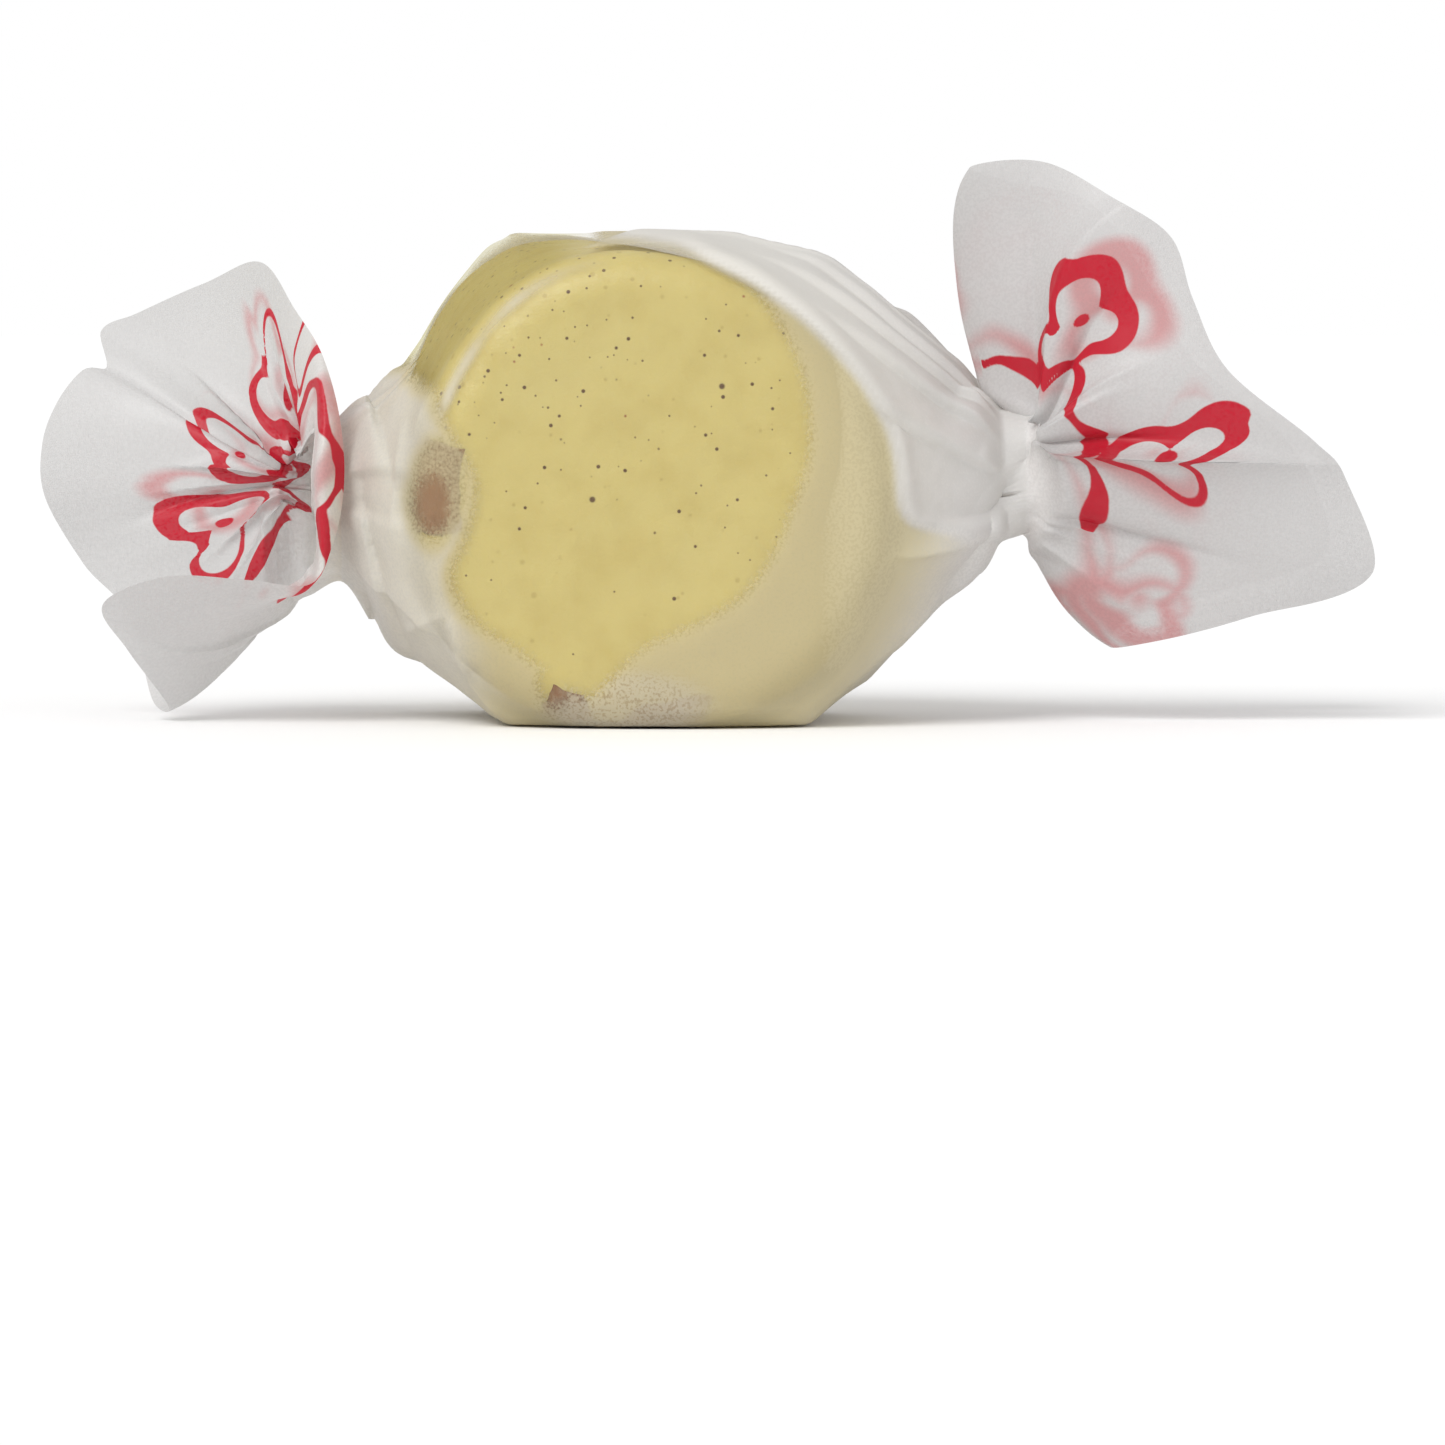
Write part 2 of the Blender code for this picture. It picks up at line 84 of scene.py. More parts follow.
# Paper: a body between the necks and a flared end at each side
PAPER_CLEARANCE = 0.45 * MM  # from the CAD candy to the sheet
CLING = 0.17 * MM  # how much closer the sheet lies where it sticks to the candy
AROUND = 400
BODY_ROWS = 160
ROWS_CLOSER = 0.045  # how much closer the rows lie near the necks
SOFTEN_TIMES = 3
FAN_ROWS = 90
FIRST_ROW = FAN_ROWS  # rows of the whole sheet at which the body starts and ends
LAST_ROW = FAN_ROWS + BODY_ROWS
SHEET_FLOOR = 0.12 * MM  # lowest that the tight sheet lies
PAPER_FLOOR = 0.05 * MM  # lowest that the finished sheet lies
NOWHERE = -5.0  # the depth into a patch or print, in millimetres, where there is none

# Twisted necks, in millimetres: x, top, underside, half depth
LEFT_NECK = [(-15.7, 15.4, 7.8, 3.1)]
RIGHT_NECK = [(16.4, 14.9, 9.0, 3.0), (17.4, 14.7, 9.5, 2.6), (18.6, 15.4, 9.8, 2.7)]

# Corners where folded paper stands off the candy, x, y, z in millimetres
PAPER_CORNERS = [
    (-8.7, 8.2, 24.1),
    (-7.4, 8.8, 24.6),
    (-0.8, 4.0, 24.6),
    (4.2, 0.0, 24.1),
    (8.7, 1.0, 22.8),
    (12.4, 3.0, 20.5),
    (15.1, 4.6, 17.6),
    (15.1, 1.5, 6.9),
    (11.2, 0.0, 2.8),
    (7.6, -7.6, 0.0),
    (7.4, 7.6, 0.0),
    (-7.2, -6.8, 0.0),
    (-7.4, 8.2, 0.0),
    (-8.8, 0.6, 1.3),
    (-10.8, 0.4, 2.3),
    (-13.5, 0.4, 4.1),
    (-14.8, 0.4, 6.1),
]

# How far from the middle both shoulders start, and how long the left and the right one are
SHOULDER = 10 * MM
LEFT_SHOULDER = 5.7 * MM
RIGHT_SHOULDER = 6.4 * MM

# Where the left collar dips at the top: x and length, angle and spread in degrees, and how much
COLLAR = {"x": -13.4 * MM, "span": 1.7 * MM, "angle": 85, "spread": 50, "share": 0.30}

# Edge of each flared end, in millimetres: the angle round the neck in degrees, where 0 is the
# front, 90 the top and 180 the back, and the point x, y, z that the paper's edge reaches there
LEFT_EDGE = [
    (28, -15.6, -4.8, 15.2),
    (50, -16.5, -3.2, 18.2),
    (70, -18.0, -1.0, 20.6),
    (90, -19.9, 1.0, 23.0),
    (112, -23.2, 3.0, 21.9),
    (130, -26.5, 4.5, 20.4),
    (141, -28.2, 5.0, 19.5),
    (148, -27.9, 4.6, 17.6),
    (154, -29.1, 3.8, 17.3),
    (160, -30.2, 3.4, 15.9),
    (172, -31.0, 3.0, 13.8),
    (188, -30.9, 2.6, 11.1),
    (205, -29.0, 3.0, 7.6),
    (222, -26.5, 2.4, 4.9),
    (234, -25.3, -0.4, 1.0),
    (244, -24.4, -2.0, 0.8),
    (252, -26.2, -4.4, 3.6),
    (264, -27.4, -5.6, 6.0),
    (276, -24.3, -6.4, 7.4),
    (290, -20.3, -6.5, 7.3),
    (306, -17.2, -6.0, 7.0),
    (330, -16.0, -5.6, 8.9),
    (360, -15.4, -5.2, 12.0),
]
RIGHT_EDGE = [
    (5, 32.8, -4.5, 14.1),
    (20, 28.5, -4.6, 17.6),
    (33, 26.8, -4.0, 21.1),
    (47, 25.8, -3.2, 24.1),
    (60, 23.3, -2.4, 25.9),
    (75, 19.5, -1.0, 28.0),
    (90, 15.8, 0.6, 27.8),
    (102, 17.8, 2.2, 27.1),
    (115, 22.0, 3.6, 26.0),
    (135, 25.5, 5.0, 21.2),
    (155, 27.5, 5.2, 17.9),
    (175, 31.5, 5.6, 14.6),
    (195, 33.6, 5.6, 11.6),
    (212, 34.0, 5.0, 8.1),
    (230, 28.8, 4.5, 6.3),
    (250, 24.3, 3.0, 5.1),
    (278, 22.8, -0.6, 3.7),
    (298, 24.8, -2.4, 4.0),
    (318, 29.8, -3.0, 5.2),
    (338, 35.8, -3.0, 7.4),
    (352, 34.5, -4.0, 12.1),
]
FAN_FIRST = 2.2 * MM  # the most that the paper runs straight on from the neck
FAN_BELLY = 0.09  # how far its bend is pushed outwards, as a share of its length

# Where the folds of each end meet: the throat's middle and radius in millimetres, and the angles
# between which the paper is drawn into it
LEFT_THROAT = {"at": (-18.2, -1.4, 12.0), "radius": 0.8, "from": 58, "to": 240, "side": -1}
RIGHT_THROAT = {"at": (19.8, -2.2, 13.7), "radius": 0.8, "from": 350, "to": 436, "side": 1}
FAN_ROLL = {-1: 0.30, 1: 0.0}  # how much further each end's short sides bulge, left and right
FAN_ROLL_LENGTH = 6 * MM  # a side of about this length counts as short
THROAT_AT = 0.12  # share of the way out at which the paper passes the throat

# How the paper leans on its way out: angle round the neck and spread in degrees, and the shift
LEFT_LEANS = [
    {"angle": 262, "spread": 34, "start": (-0.2, -0.2, -1.3), "by": (-0.5, -0.5, -2.8)},
    {"angle": 5, "spread": 44, "start": (-0.9, -0.6, 0.0), "by": (-0.8, -2.4, 0.0)},
]
RIGHT_LEANS = [
    {"angle": 95, "spread": 38, "start": (-4.2, 0.6, 0.5), "by": (-2.6, 1.2, 1.3)},
    {"angle": 284, "spread": 44, "start": (-1.7, -0.3, -1.2), "by": (-0.6, -0.3, -0.3)},
]

# Folds that wind round each neck: how many, how high, how many degrees they turn to each side of
# the neck, and its x
LEFT_PLEATS = {"count": 4, "height": 0.60 * MM, "turn": 210, "neck": -15.7 * MM}
RIGHT_PLEATS = {"count": 3, "height": 0.68 * MM, "turn": -75, "neck": 17.4 * MM}
PLEAT_REACH_BODY = 5.0 * MM
PLEAT_TWIST = 3 * MM  # length of neck over which the folds wind
FOLD_LEAN = 0.72  # share of a fold that rises, before it falls
PLEAT_START = 0.16  # the ends' own folds take over from the neck's within this share of the way out
FAN_SWELL = 0.7 * MM  # soft puffs of the flared ends
FAN_CRUMPLE = {"height": 0.10 * MM, "size": 8 * MM, "count": 5}  # straight creases on them
FAN_PUFF = 6.5 * MM  # how wide those puffs are
FAN_PLEAT_RUN = 9 * MM  # length over which the neck's folds wind on into an end
PLEAT_END = 0.7  # shares of the way out at which the neck's main and smaller folds end
FINE_PLEAT_END = 0.5
FINE_PLEAT = 0.14  # height of the smaller folds of a neck beside the main ones
SHORT_PAPER = {"from": 2.5 * MM, "span": 5.5 * MM, "calm": 0.85}  # short sides are smoother

# Long folds that run from a neck over the shoulder: angle at the neck and at the far end in
# degrees, length, width and height in millimetres, and the sharp side, 1 where the angle is larger
LEFT_FOLDS = [
    (14, 6, 5.0, 2.0, 0.60, -1),
    (345, 350, 5.5, 1.8, 0.55, 1),
    (312, 320, 6.5, 1.6, 0.45, -1),
    (50, 42, 6.5, 1.4, 0.45, -1),
    (84, 78, 7.0, 1.2, 0.35, -1),
    (140, 150, 5.0, 1.5, 0.40, 1),
    (178, 182, 6.0, 1.6, 0.45, 1),
    (212, 205, 6.0, 1.4, 0.45, 1),
    (250, 240, 7.0, 1.3, 0.40, 1),
]
RIGHT_FOLDS = [
    (12, 30, 8.5, 1.7, 0.75, -1),
    (36, 51, 11.0, 1.9, 0.85, -1),
    (58, 69, 13.5, 2.0, 0.80, -1),
    (80, 87, 13.0, 1.6, 0.60, -1),
    (330, 345, 5.5, 2.4, 0.90, 1),
    (296, 300, 8.0, 1.8, 0.45, -1),
    (110, 114, 9.0, 1.6, 0.45, -1),
    (145, 150, 8.0, 1.6, 0.50, 1),
    (172, 178, 7.0, 1.5, 0.45, 1),
    (208, 202, 8.0, 1.5, 0.50, 1),
    (245, 236, 8.0, 1.5, 0.45, 1),
]
FOLD_SHARP = 0.28  # how wide a fold's sharp and soft sides are beside its listed width
FOLD_SOFT = 1.5
FOLD_LEAST = 0.20 * MM  # narrowest side of a fold

# Long folds of the flared ends: angle in degrees, rise and width in millimetres, and the shares of
# the way out at which each begins and ends
LEFT_FAN_FOLDS = [
    (100, 0.9, 1.1, 0.05, 0.75),
    (128, -0.8, 0.9, 0.05, 0.70),
    (148, 0.8, 1.0, 0.10, 0.95),
    (172, -0.7, 0.8, 0.05, 0.60),
    (196, 0.9, 1.1, 0.05, 0.85),
    (216, -0.7, 0.8, 0.05, 0.60),
    (264, 0.7, 0.8, 0.10, 0.90),
    (300, -0.4, 0.8, 0.10, 0.90),
]
RIGHT_FAN_FOLDS = [
    (355, 2.3, 1.6, 0.03, 1.1),
    (12, -0.7, 0.8, 0.05, 0.60),
    (30, 0.8, 0.9, 0.05, 0.80),
    (48, -0.8, 1.1, 0.05, 0.80),
    (60, 2.0, 2.1, 0.03, 1.4),
    (76, -1.2, 1.6, 0.05, 1.2),
    (330, -0.7, 0.9, 0.08, 0.70),
    (306, 0.8, 1.0, 0.08, 0.85),
    (285, -0.6, 0.8, 0.05, 0.60),
]
RANDOM_FOLDS = 16
FOLD_WANDER = 0.08  # how far, in radians, a fold of the ends strays from its angle
JOIN_ROWS = 8  # rows to each side of a neck that are evened out, and how many times
JOIN_TIMES = 24

# The folds that close each neck: how far their middle stands out, and the folds
GATHER_ROWS = 40
GATHER_OUT = 1.1 * MM
GATHER_FOLDS = {"count": 9, "height": 0.34 * MM, "spiral": 1.4}
GATHER_STAND = 5.0  # millimetres off the candy, for the material

# Where the paper clings to the front of the candy: x, z of the outline in millimetres
CLING_OUTLINE = [
    (-5.5, 23.0), (-8.0, 21.0), (-9.6, 18.4), (-10.6, 16.0), (-9.4, 14.0), (-8.4, 12.2),
    (-9.0, 9.2), (-10.0, 7.6), (-9.0, 5.6), (-6.8, 4.2), (-5.2, 3.0), (-3.3, 1.4), (-2.0, 2.8),
    (-0.8, 4.2), (2.2, 5.4), (4.4, 6.7), (5.8, 8.8), (6.8, 11.4), (7.6, 13.8), (7.3, 17.2),
    (6.2, 19.8), (4.3, 22.2), (2.2, 23.4), (-2.0, 24.6), (-5.0, 25.0),
]  # fmt: skip

# Where a second layer lies over the front, to the right of the candy's face
DRAPE_OUTLINE = [
    (-6.5, 26.0), (-4.0, 24.45), (0.9, 23.75), (2.9, 22.8), (6.0, 21.1), (8.5, 18.9), (10.1, 17.0),
    (11.3, 15.1), (11.8, 12.6), (12.0, 10.1), (13.8, 9.6), (16.2, 9.2), (22.0, 9.0), (22.0, 26.0),
]  # fmt: skip
DRAPE_STEP = 0.30 * MM
DRAPE_CREST = 0.16 * MM
DRAPE_FADE = 5.0  # millimetres over which the step sinks back

# Where the paper clings to the side: between which angles in degrees, how deep, and how far off
# the candy it may be up to the last angle, all lengths in millimetres
CLING_RIM = {"from": 99, "to": 152, "depth": 8.5, "reach": 0.75, "free from": 116}
CLING_FRONT_DEPTH = 7.6  # millimetres towards the front at which the front patches end
CLING_BACK = {"radius": 8.2, "aside": 1.0, "depth": 8.4}
CLING_SPOTS = [  # x, z, half width and half height, and the most it clings there
    (-10.5, 12.0, 0.9, 1.5, -0.30),
    (-10.9, 11.1, 0.75, 1.3, 0.6),
    (-4.9, 2.4, 0.6, 1.0, 0.6),
]

# How the body of the sheet looks, in degrees and millimetres
RIM_SHINE = {"from": 95, "to": 168, "inset": 0.35, "width": 0.64}  # a painted highlight: a bright line at the front rim
FROST = {"at": (-1.4, 1.2), "half": (5.6, 2.3)}  # a frosted, stippled patch low on the front
VEIL = {"from": 4.0, "to": 10.0, "share": 0.92}  # how far right the haze grows opaque
ASIDE = {"from": 6.6, "span": 3.6, "share": 0.62}  # how far left the haze turns whiter
PACKED = (14.0, 18.9)  # between these x the twisted paper is many layers thick, and is painted whiter against its shade
DRAPE_TOP_HIGHLIGHT = (16.5, 21.0)  # between these z a painted highlight makes the top of the second layer whiter
PACKED_ROWS = 18  # rows of the right end over which the twisted paper's whiter look, partly a painted highlight, fades

# Small ridges on the front, from x, z to x, z, with rise and width, all in millimetres
FRONT_RIDGES = [
    (-12.4, 4.6, -10.0, 5.8, 0.30, 0.50),
    (-10.0, 5.8, -9.2, 2.6, 0.42, 0.42),
    (-9.2, 2.6, -7.5, 0.5, 0.34, 0.40),
    (-9.8, 18.6, -11.8, 14.4, 0.30, 0.45),
    (-12.2, 15.4, -12.9, 9.4, 0.30, 0.48),
    (11.7, 8.4, 16.2, 9.3, 0.70, 0.50),
    (9.5, 1.2, 14.2, 6.4, 0.30, 0.50),
    (0.4, 0.9, 7.0, 1.0, 0.22, 0.35),
]

# Print round each neck, in millimetres in the flat sheet
PRINT_START = 2.0  # radius in the flat sheet at which the ends begin
PRINT_LINE = {"middle": 6.3, "swing": 0.8, "waves": 6, "thick": 0.38}
PETALS = {"count": 7, "middle": 9.9, "swing": 1.1, "thick": 0.48, "dot": 0.5}

# Each end's print: the angles round the neck between which it shows, its turns in radians in
# front and behind, the radius of its petals, and how much is taken off behind elsewhere
LEFT_INK = {"from": -82, "to": 236, "phase": 0.9, "behind": 2.1, "petal": 2.7, "bare": 6.0}
RIGHT_INK = {"from": 328, "to": 446, "phase": 1.78, "behind": 3.2, "petal": 2.35, "bare": 0.0}
BLUSH_TURN = 0.5  # radians between the print in front and the one behind
INK_LIMIT = 6.0  # how sharply the print ends at those angles

# Colours, linear
CREAM = (0.60, 0.50, 0.186)
CREAM_DEEP = (0.56, 0.455, 0.158)
CREAM_PALE = (0.62, 0.53, 0.22)
SPECK = (0.10, 0.045, 0.02)
SPECK_RED = (0.30, 0.09, 0.035)
SPECK_FAINT = (0.36, 0.25, 0.07)
CARAMEL = (0.20, 0.088, 0.040)
CARAMEL_PALE = (0.28, 0.15, 0.075)
PAPER = (0.76, 0.745, 0.725)
PAPER_FIBRE = (0.79, 0.775, 0.76)
PAPER_PACKED_HIGHLIGHT = (0.85, 0.838, 0.822)  # many layers together, as in a neck; partly a painted highlight, on the twisted neck and on the top of the second layer
PAPER_FAR = (0.655, 0.647, 0.64)  # a single layer, thinner to look at than the gathered sheet
GLOW = (0.69, 0.61, 0.38)  # painted glow: the candy's light through the paper near it, painted into the paper's colour
# a deeper tone of that painted glow, in a fine stipple
GLOW_DEEP = (0.46, 0.38, 0.20)
STIPPLE = (0.30, 0.19, 0.11)
CLEAR_TONE = (0.98, 0.98, 0.97)
SIDE_SHADE_TONE = (0.865, 0.845, 0.70)  # painted shade: the candy's upper left side, seen through clear paper, made darker
INK = (0.58, 0.010, 0.030)
BLUSH = (0.62, 0.235, 0.24)  # ink of a layer behind, seen through the paper
FLOOR = (0.97, 0.97, 0.97)

# Materials: how light sinks in, as a share, depths for red, green and blue, and their scale
CREAM_GLOW = (0.25, (1.0, 0.75, 0.35), 1.2 * MM)
CARAMEL_GLOW = (0.3, (1.0, 0.5, 0.25), 0.9 * MM)
SPECKS_RISE = (6 * MM, 17 * MM)  # heights between which specks grow common, and their chances
SPECKS_CHANCE = (0.12, 0.85)
CLING_GRAIN = 0.85  # how ragged the edge of a clinging patch is
CLEAR_OPACITY = 0.08
SHINE_OPACITY = 0.75
LAYER_OPACITY = 0.97  # two layers, or ink
BLUSH_STRENGTH = 0.75

# Studio: each sun has a direction, a strength and a softness in degrees
ROOM_LIGHT = 0.65
SUNS = {"key": ((0.45, 0.62, -0.75), 1.7, 35), "fill": ((-0.5, 0.45, -0.3), 0.25, 60)}
FLOOR_SIZE = 6.0
VIEW_DISTANCE = 0.42
VIEW_ELEVATION = math.radians(3)
VIEW_WIDTH = 72.25 * MM
VIEW_TARGET = (3.375 * MM, -3 * MM, 0.0)

SEED = 11


def smooth_step(t):
    t = np.clip(t, 0, 1)
    return t * t * (3 - 2 * t)


def wrap_angle(angle):
    return np.mod(angle + math.pi, math.tau) - math.pi


def candy_radius(angle, y):
    """The log's radius at an angle and a depth: round, with fuller corners."""
    lower = sum(np.exp(-(((angle - at) / CORNER_SPREAD) ** 2)) for at in LOWER_CORNERS)
    uneven = CANDY_SQUASH * lower + THREE_SIDED * np.cos(3 * angle + 0.6)
    corner = np.exp(-((wrap_angle(angle - CORNER_ANGLE) / UPPER_SPREAD) ** 2))
    rise = CORNER_RISE + CORNER_GROWTH * (y + CANDY_HALF_DEPTH)
    return CANDY_RADIUS * (1 + uneven) + rise * corner


def candy_centre(y):
    return CANDY_SHIFT + SHEAR_X * y, CANDY_CENTRE_Z + SHEAR_Z * y


def candy_distance(x, y, z):
    """Signed distance from the candy's surface, to within the small change of its radius."""
    cx, cz = candy_centre(y)
    angle = np.arctan2(z - cz, x - cx)
    side = np.hypot(x - cx, z - cz) - (candy_radius(angle, y) - CANDY_EDGE)
    end = np.abs(y) - (CANDY_HALF_DEPTH - CANDY_EDGE)
    outside = np.hypot(np.maximum(side, 0), np.maximum(end, 0))
    return outside + np.minimum(np.maximum(side, end), 0) - CANDY_EDGE


def neck_section(neck, x):
    """Half height, half depth and centre height of a neck at x, all in metres."""
    table = np.array(neck)
    top, low, depth = (np.interp(x / MM, table[:, 0], table[:, k]) for k in (1, 2, 3))
    return (top - low) / 2 * MM, depth * MM, (top + low) / 2 * MM


def candy_shell(grow, around):
    """Points on the log's surface, grown by a distance."""
    points = []
    inner = CANDY_HALF_DEPTH - CANDY_EDGE
    edge = CANDY_EDGE + grow
    for side in (-1, 1):
        for turn in np.radians([0, 15, 30, 45, 60, 75, 90]):
            y = side * (inner + edge * math.sin(turn))
            cx, cz = candy_centre(y)
            for i in range(around):
                angle = -math.pi + math.tau * i / around
                reach = float(candy_radius(np.array(angle), y)) - CANDY_EDGE + edge * math.cos(turn)
                points.append((cx + reach * math.cos(angle), y, max(cz + reach * math.sin(angle), 0)))
    return points


def paper_planes():
    """Normals and offsets of the planes that bound the tight paper: the convex hull of the candy,
    the necks and the corners of folded paper."""
    points = candy_shell(PAPER_CLEARANCE, 120)
    points += [(x * MM, y * MM, z * MM) for x, y, z in PAPER_CORNERS]
    rings = ((LEFT_NECK, LEFT_NECK[0][0]), (RIGHT_NECK, RIGHT_NECK[0][0]), (RIGHT_NECK, RIGHT_NECK[1][0]))
    for neck, x in rings:
        half, depth, centre = neck_section(neck, x * MM)
        for i in range(48):
            turn = math.tau * i / 48
            points.append((x * MM, -depth * math.cos(turn), centre + half * math.sin(turn)))
    hull = bmesh.new()
    for point in points:
        hull.verts.new(point)
    bmesh.ops.convex_hull(hull, input=hull.verts)
    corners = np.array([[tuple(v.co) for v in face.verts[:3]] for face in hull.faces])
    hull.free()
    middle = np.mean(points, axis=0)
    normal = np.cross(corners[:, 1] - corners[:, 0], corners[:, 2] - corners[:, 0])
    normal /= np.maximum(np.linalg.norm(normal, axis=1), 1e-15)[:, None]
    offset = (normal * corners[:, 0]).sum(1)
    inward = (normal * middle).sum(1) > offset
    normal[inward] *= -1
    offset[inward] *= -1
    return normal, offset


def section_centre(x):
    """Height of the middle of the sheet's section, from neck to neck."""
    left = neck_section(LEFT_NECK, np.full_like(x, LEFT_NECK[0][0] * MM))[2]
    right = neck_section(RIGHT_NECK, x)[2]
    to_left = smooth_step((-x - SHOULDER) / LEFT_SHOULDER)
    to_right = smooth_step((x - SHOULDER) / RIGHT_SHOULDER)
    return CANDY_CENTRE_Z * (1 - to_left - to_right) + left * to_left + right * to_right


def section_reach(x, angle, centre):
    """Distance from each section's centre to the tight paper, row by row."""
    normal, offset = paper_planes()
    reach = np.zeros_like(x)
    for row in range(len(x)):
        toward = np.outer(-np.cos(angle[row]), normal[:, 1]) + np.outer(np.sin(angle[row]), normal[:, 2])
        gap = offset - x[row, 0] * normal[:, 0] - centre[row, 0] * normal[:, 2]
        with np.errstate(divide="ignore", invalid="ignore"):
            reach[row] = np.where(toward > 1e-9, gap / toward, np.inf).min(1)
    half, depth, _ = neck_section(RIGHT_NECK, x)
    knot = 1 / np.hypot(np.cos(angle) / depth, np.sin(angle) / half)
    return np.where(x > RIGHT_NECK[1][0] * MM, knot, reach)


def soften(grid, times):
    """Averages a grid with its neighbours, round the loop and along the rows."""
    for _ in range(times):
        grid = (np.roll(grid, 1, axis=1) + 2 * grid + np.roll(grid, -1, axis=1)) / 4
        middle = (grid[:-2] + 2 * grid[1:-1] + grid[2:]) / 4
        grid = np.concatenate([grid[:1], middle, grid[-1:]])
    return grid


def collar_share(x, angle):
    """How far the sheet reaches at the left collar, where it dips at the top."""
    along = (x - COLLAR["x"]) / COLLAR["span"]
    round_it = (np.degrees(angle) - COLLAR["angle"]) / COLLAR["spread"]
    return 1 - COLLAR["share"] * np.exp(-(along**2) - round_it**2)


def fold_wave(turns):
    """Paper gathered into folds: round backs and sharp valleys, each fold leaning to one side."""
    part = np.mod(turns, 1.0)
    rise = np.sin(0.5 * math.pi * part / FOLD_LEAN)
    fall = np.cos(0.5 * math.pi * (part - FOLD_LEAN) / (1 - FOLD_LEAN))
    return np.where(part < FOLD_LEAN, rise, fall)


def pleats(angle, along, kind):
    """Height of the main folds of a neck, which wind round it."""
    wander = angle + 0.22 * np.sin(angle + 1.3) + 0.12 * np.sin(2 * angle + 0.4)
    turn = math.radians(kind["turn"]) * np.tanh(along / PLEAT_TWIST)
    turns = kind["count"] * (wander + turn) / math.tau
    return kind["height"] * fold_wave(turns)


def fine_pleats(angle, along, kind):
    """Smaller folds between the main ones."""
    wander = angle + 0.3 * np.sin(2 * angle + 0.8) + 0.1 * np.sin(5 * angle)
    turn = math.radians(kind["turn"]) * 1.3 * np.tanh(along / PLEAT_TWIST)
    turns = (2.0 * kind["count"] + 3) * (wander + turn) / math.tau
    return FINE_PLEAT * kind["height"] * fold_wave(turns)


def long_folds(angle, along, reach, folds):
    """Ridges that run from a neck over the shoulder, each soft on one side and sharp on the other."""
    height = np.zeros_like(angle)
    for near, far, length, width, rise, sharp in folds:
        share = np.clip(along / (length * MM), 0, 1)
        span = wrap_angle(math.radians(far) - math.radians(near))
        off = wrap_angle(angle - math.radians(near) - span * share) * reach
        wide = width * MM * (0.35 + 0.65 * share) * np.where(off * sharp > 0, FOLD_SHARP, FOLD_SOFT)
        wide = np.maximum(wide, FOLD_LEAST)
        hold = smooth_step(share / 0.12) * (1 - smooth_step((share - 0.45) / 0.55))
        height += rise * MM * hold * np.exp(-((off / wide) ** 2))
    return height


def triangle_wave(turns):
    return np.abs(2 * np.mod(turns, 1.0) - 1) * 2 - 1


def crumple(points, rng, scale, count):
    """Straight creases in scattered directions, as stiff paper takes them. About -1 to 1."""
    height = np.zeros(points.shape[:-1])
    for _ in range(count):
        way = rng.normal(size=3)
        way /= np.linalg.norm(way)
        across = points @ way / scale * rng.uniform(0.6, 1.5) + rng.uniform(0, 1)
        swell = np.sin(points @ rng.normal(size=3) / scale * 1.7 + rng.uniform(0, math.tau))
        height += triangle_wave(across) * (0.5 + 0.5 * swell)
    return height / math.sqrt(count)


def body_points(angle):
    """The sheet between the two necks, one row of points for each station along it."""
    low, high = LEFT_PLEATS["neck"], RIGHT_NECK[2][0] * MM
    rows = np.linspace(0, 1, BODY_ROWS)
    rows = rows - ROWS_CLOSER * np.sin(math.tau * rows)
    x = np.repeat((low + (high - low) * rows)[:, None], len(angle), axis=1)
    turned = np.repeat(angle[None, :], BODY_ROWS, axis=0)
    centre = section_centre(x)
    reach = soften(section_reach(x, turned, centre), SOFTEN_TIMES) * collar_share(x, turned)
    tight = reach.copy()
    for kind, side, folds in ((LEFT_PLEATS, 1, LEFT_FOLDS), (RIGHT_PLEATS, -1, RIGHT_FOLDS)):
        along = (x - kind["neck"]) * side
        share = 1 - smooth_step((along - 1.0 * MM) / PLEAT_REACH_BODY)
        reach = reach + pleats(turned, x - kind["neck"], kind) * share
        fine = 1 - smooth_step((along - 0.5 * MM) / (0.6 * PLEAT_REACH_BODY))
        reach = reach + fine_pleats(turned, x - kind["neck"], kind) * fine
        reach = reach + long_folds(turned, along, tight, folds)
    points = np.stack([x, -np.cos(turned) * reach, centre + np.sin(turned) * reach], -1)
    points[..., 2] = np.maximum(points[..., 2], SHEET_FLOOR)
    return points


def edge_point(table, angle):
    """Points of a paper edge at each angle, on a smooth closed curve through the table's points."""
    rows = np.array(sorted((row[0] % 360, *row[1:]) for row in table))
    knots = np.concatenate([rows[-2:, 0] - 360, rows[:, 0], rows[:2, 0] + 360])
    points = np.concatenate([rows[-2:, 1:], rows[:, 1:], rows[:2, 1:]]) * MM
    slopes = np.zeros_like(points)
    slopes[1:-1] = (points[2:] - points[:-2]) / (knots[2:] - knots[:-2])[:, None]
    at = np.mod(np.degrees(angle), 360)
    before = np.searchsorted(knots, at, side="right") - 1
    span = (knots[before + 1] - knots[before])[:, None]
    t = (at - knots[before])[:, None] / span
    start, end = points[before], points[before + 1]
    value = start * (2 * t**3 - 3 * t**2 + 1) + end * (3 * t**2 - 2 * t**3)
    return value + span * (slopes[before] * (t**3 - 2 * t**2 + t) + slopes[before + 1] * (t**3 - t**2))


def surface_normals(rows):
    around = np.roll(rows, -1, axis=1) - np.roll(rows, 1, axis=1)
    along = np.gradient(rows, axis=0)
    normal = np.cross(around, along)
    return normal / np.maximum(np.linalg.norm(normal, axis=-1), 1e-12)[..., None]


def outward_normals(rows, middle_x):
    """Normals that point away from the candy's middle line."""
    normal = surface_normals(rows)
    middle = np.array([middle_x, 0, CANDY_CENTRE_Z])
    return normal * np.sign((normal * (rows - middle)).sum(-1))[..., None]


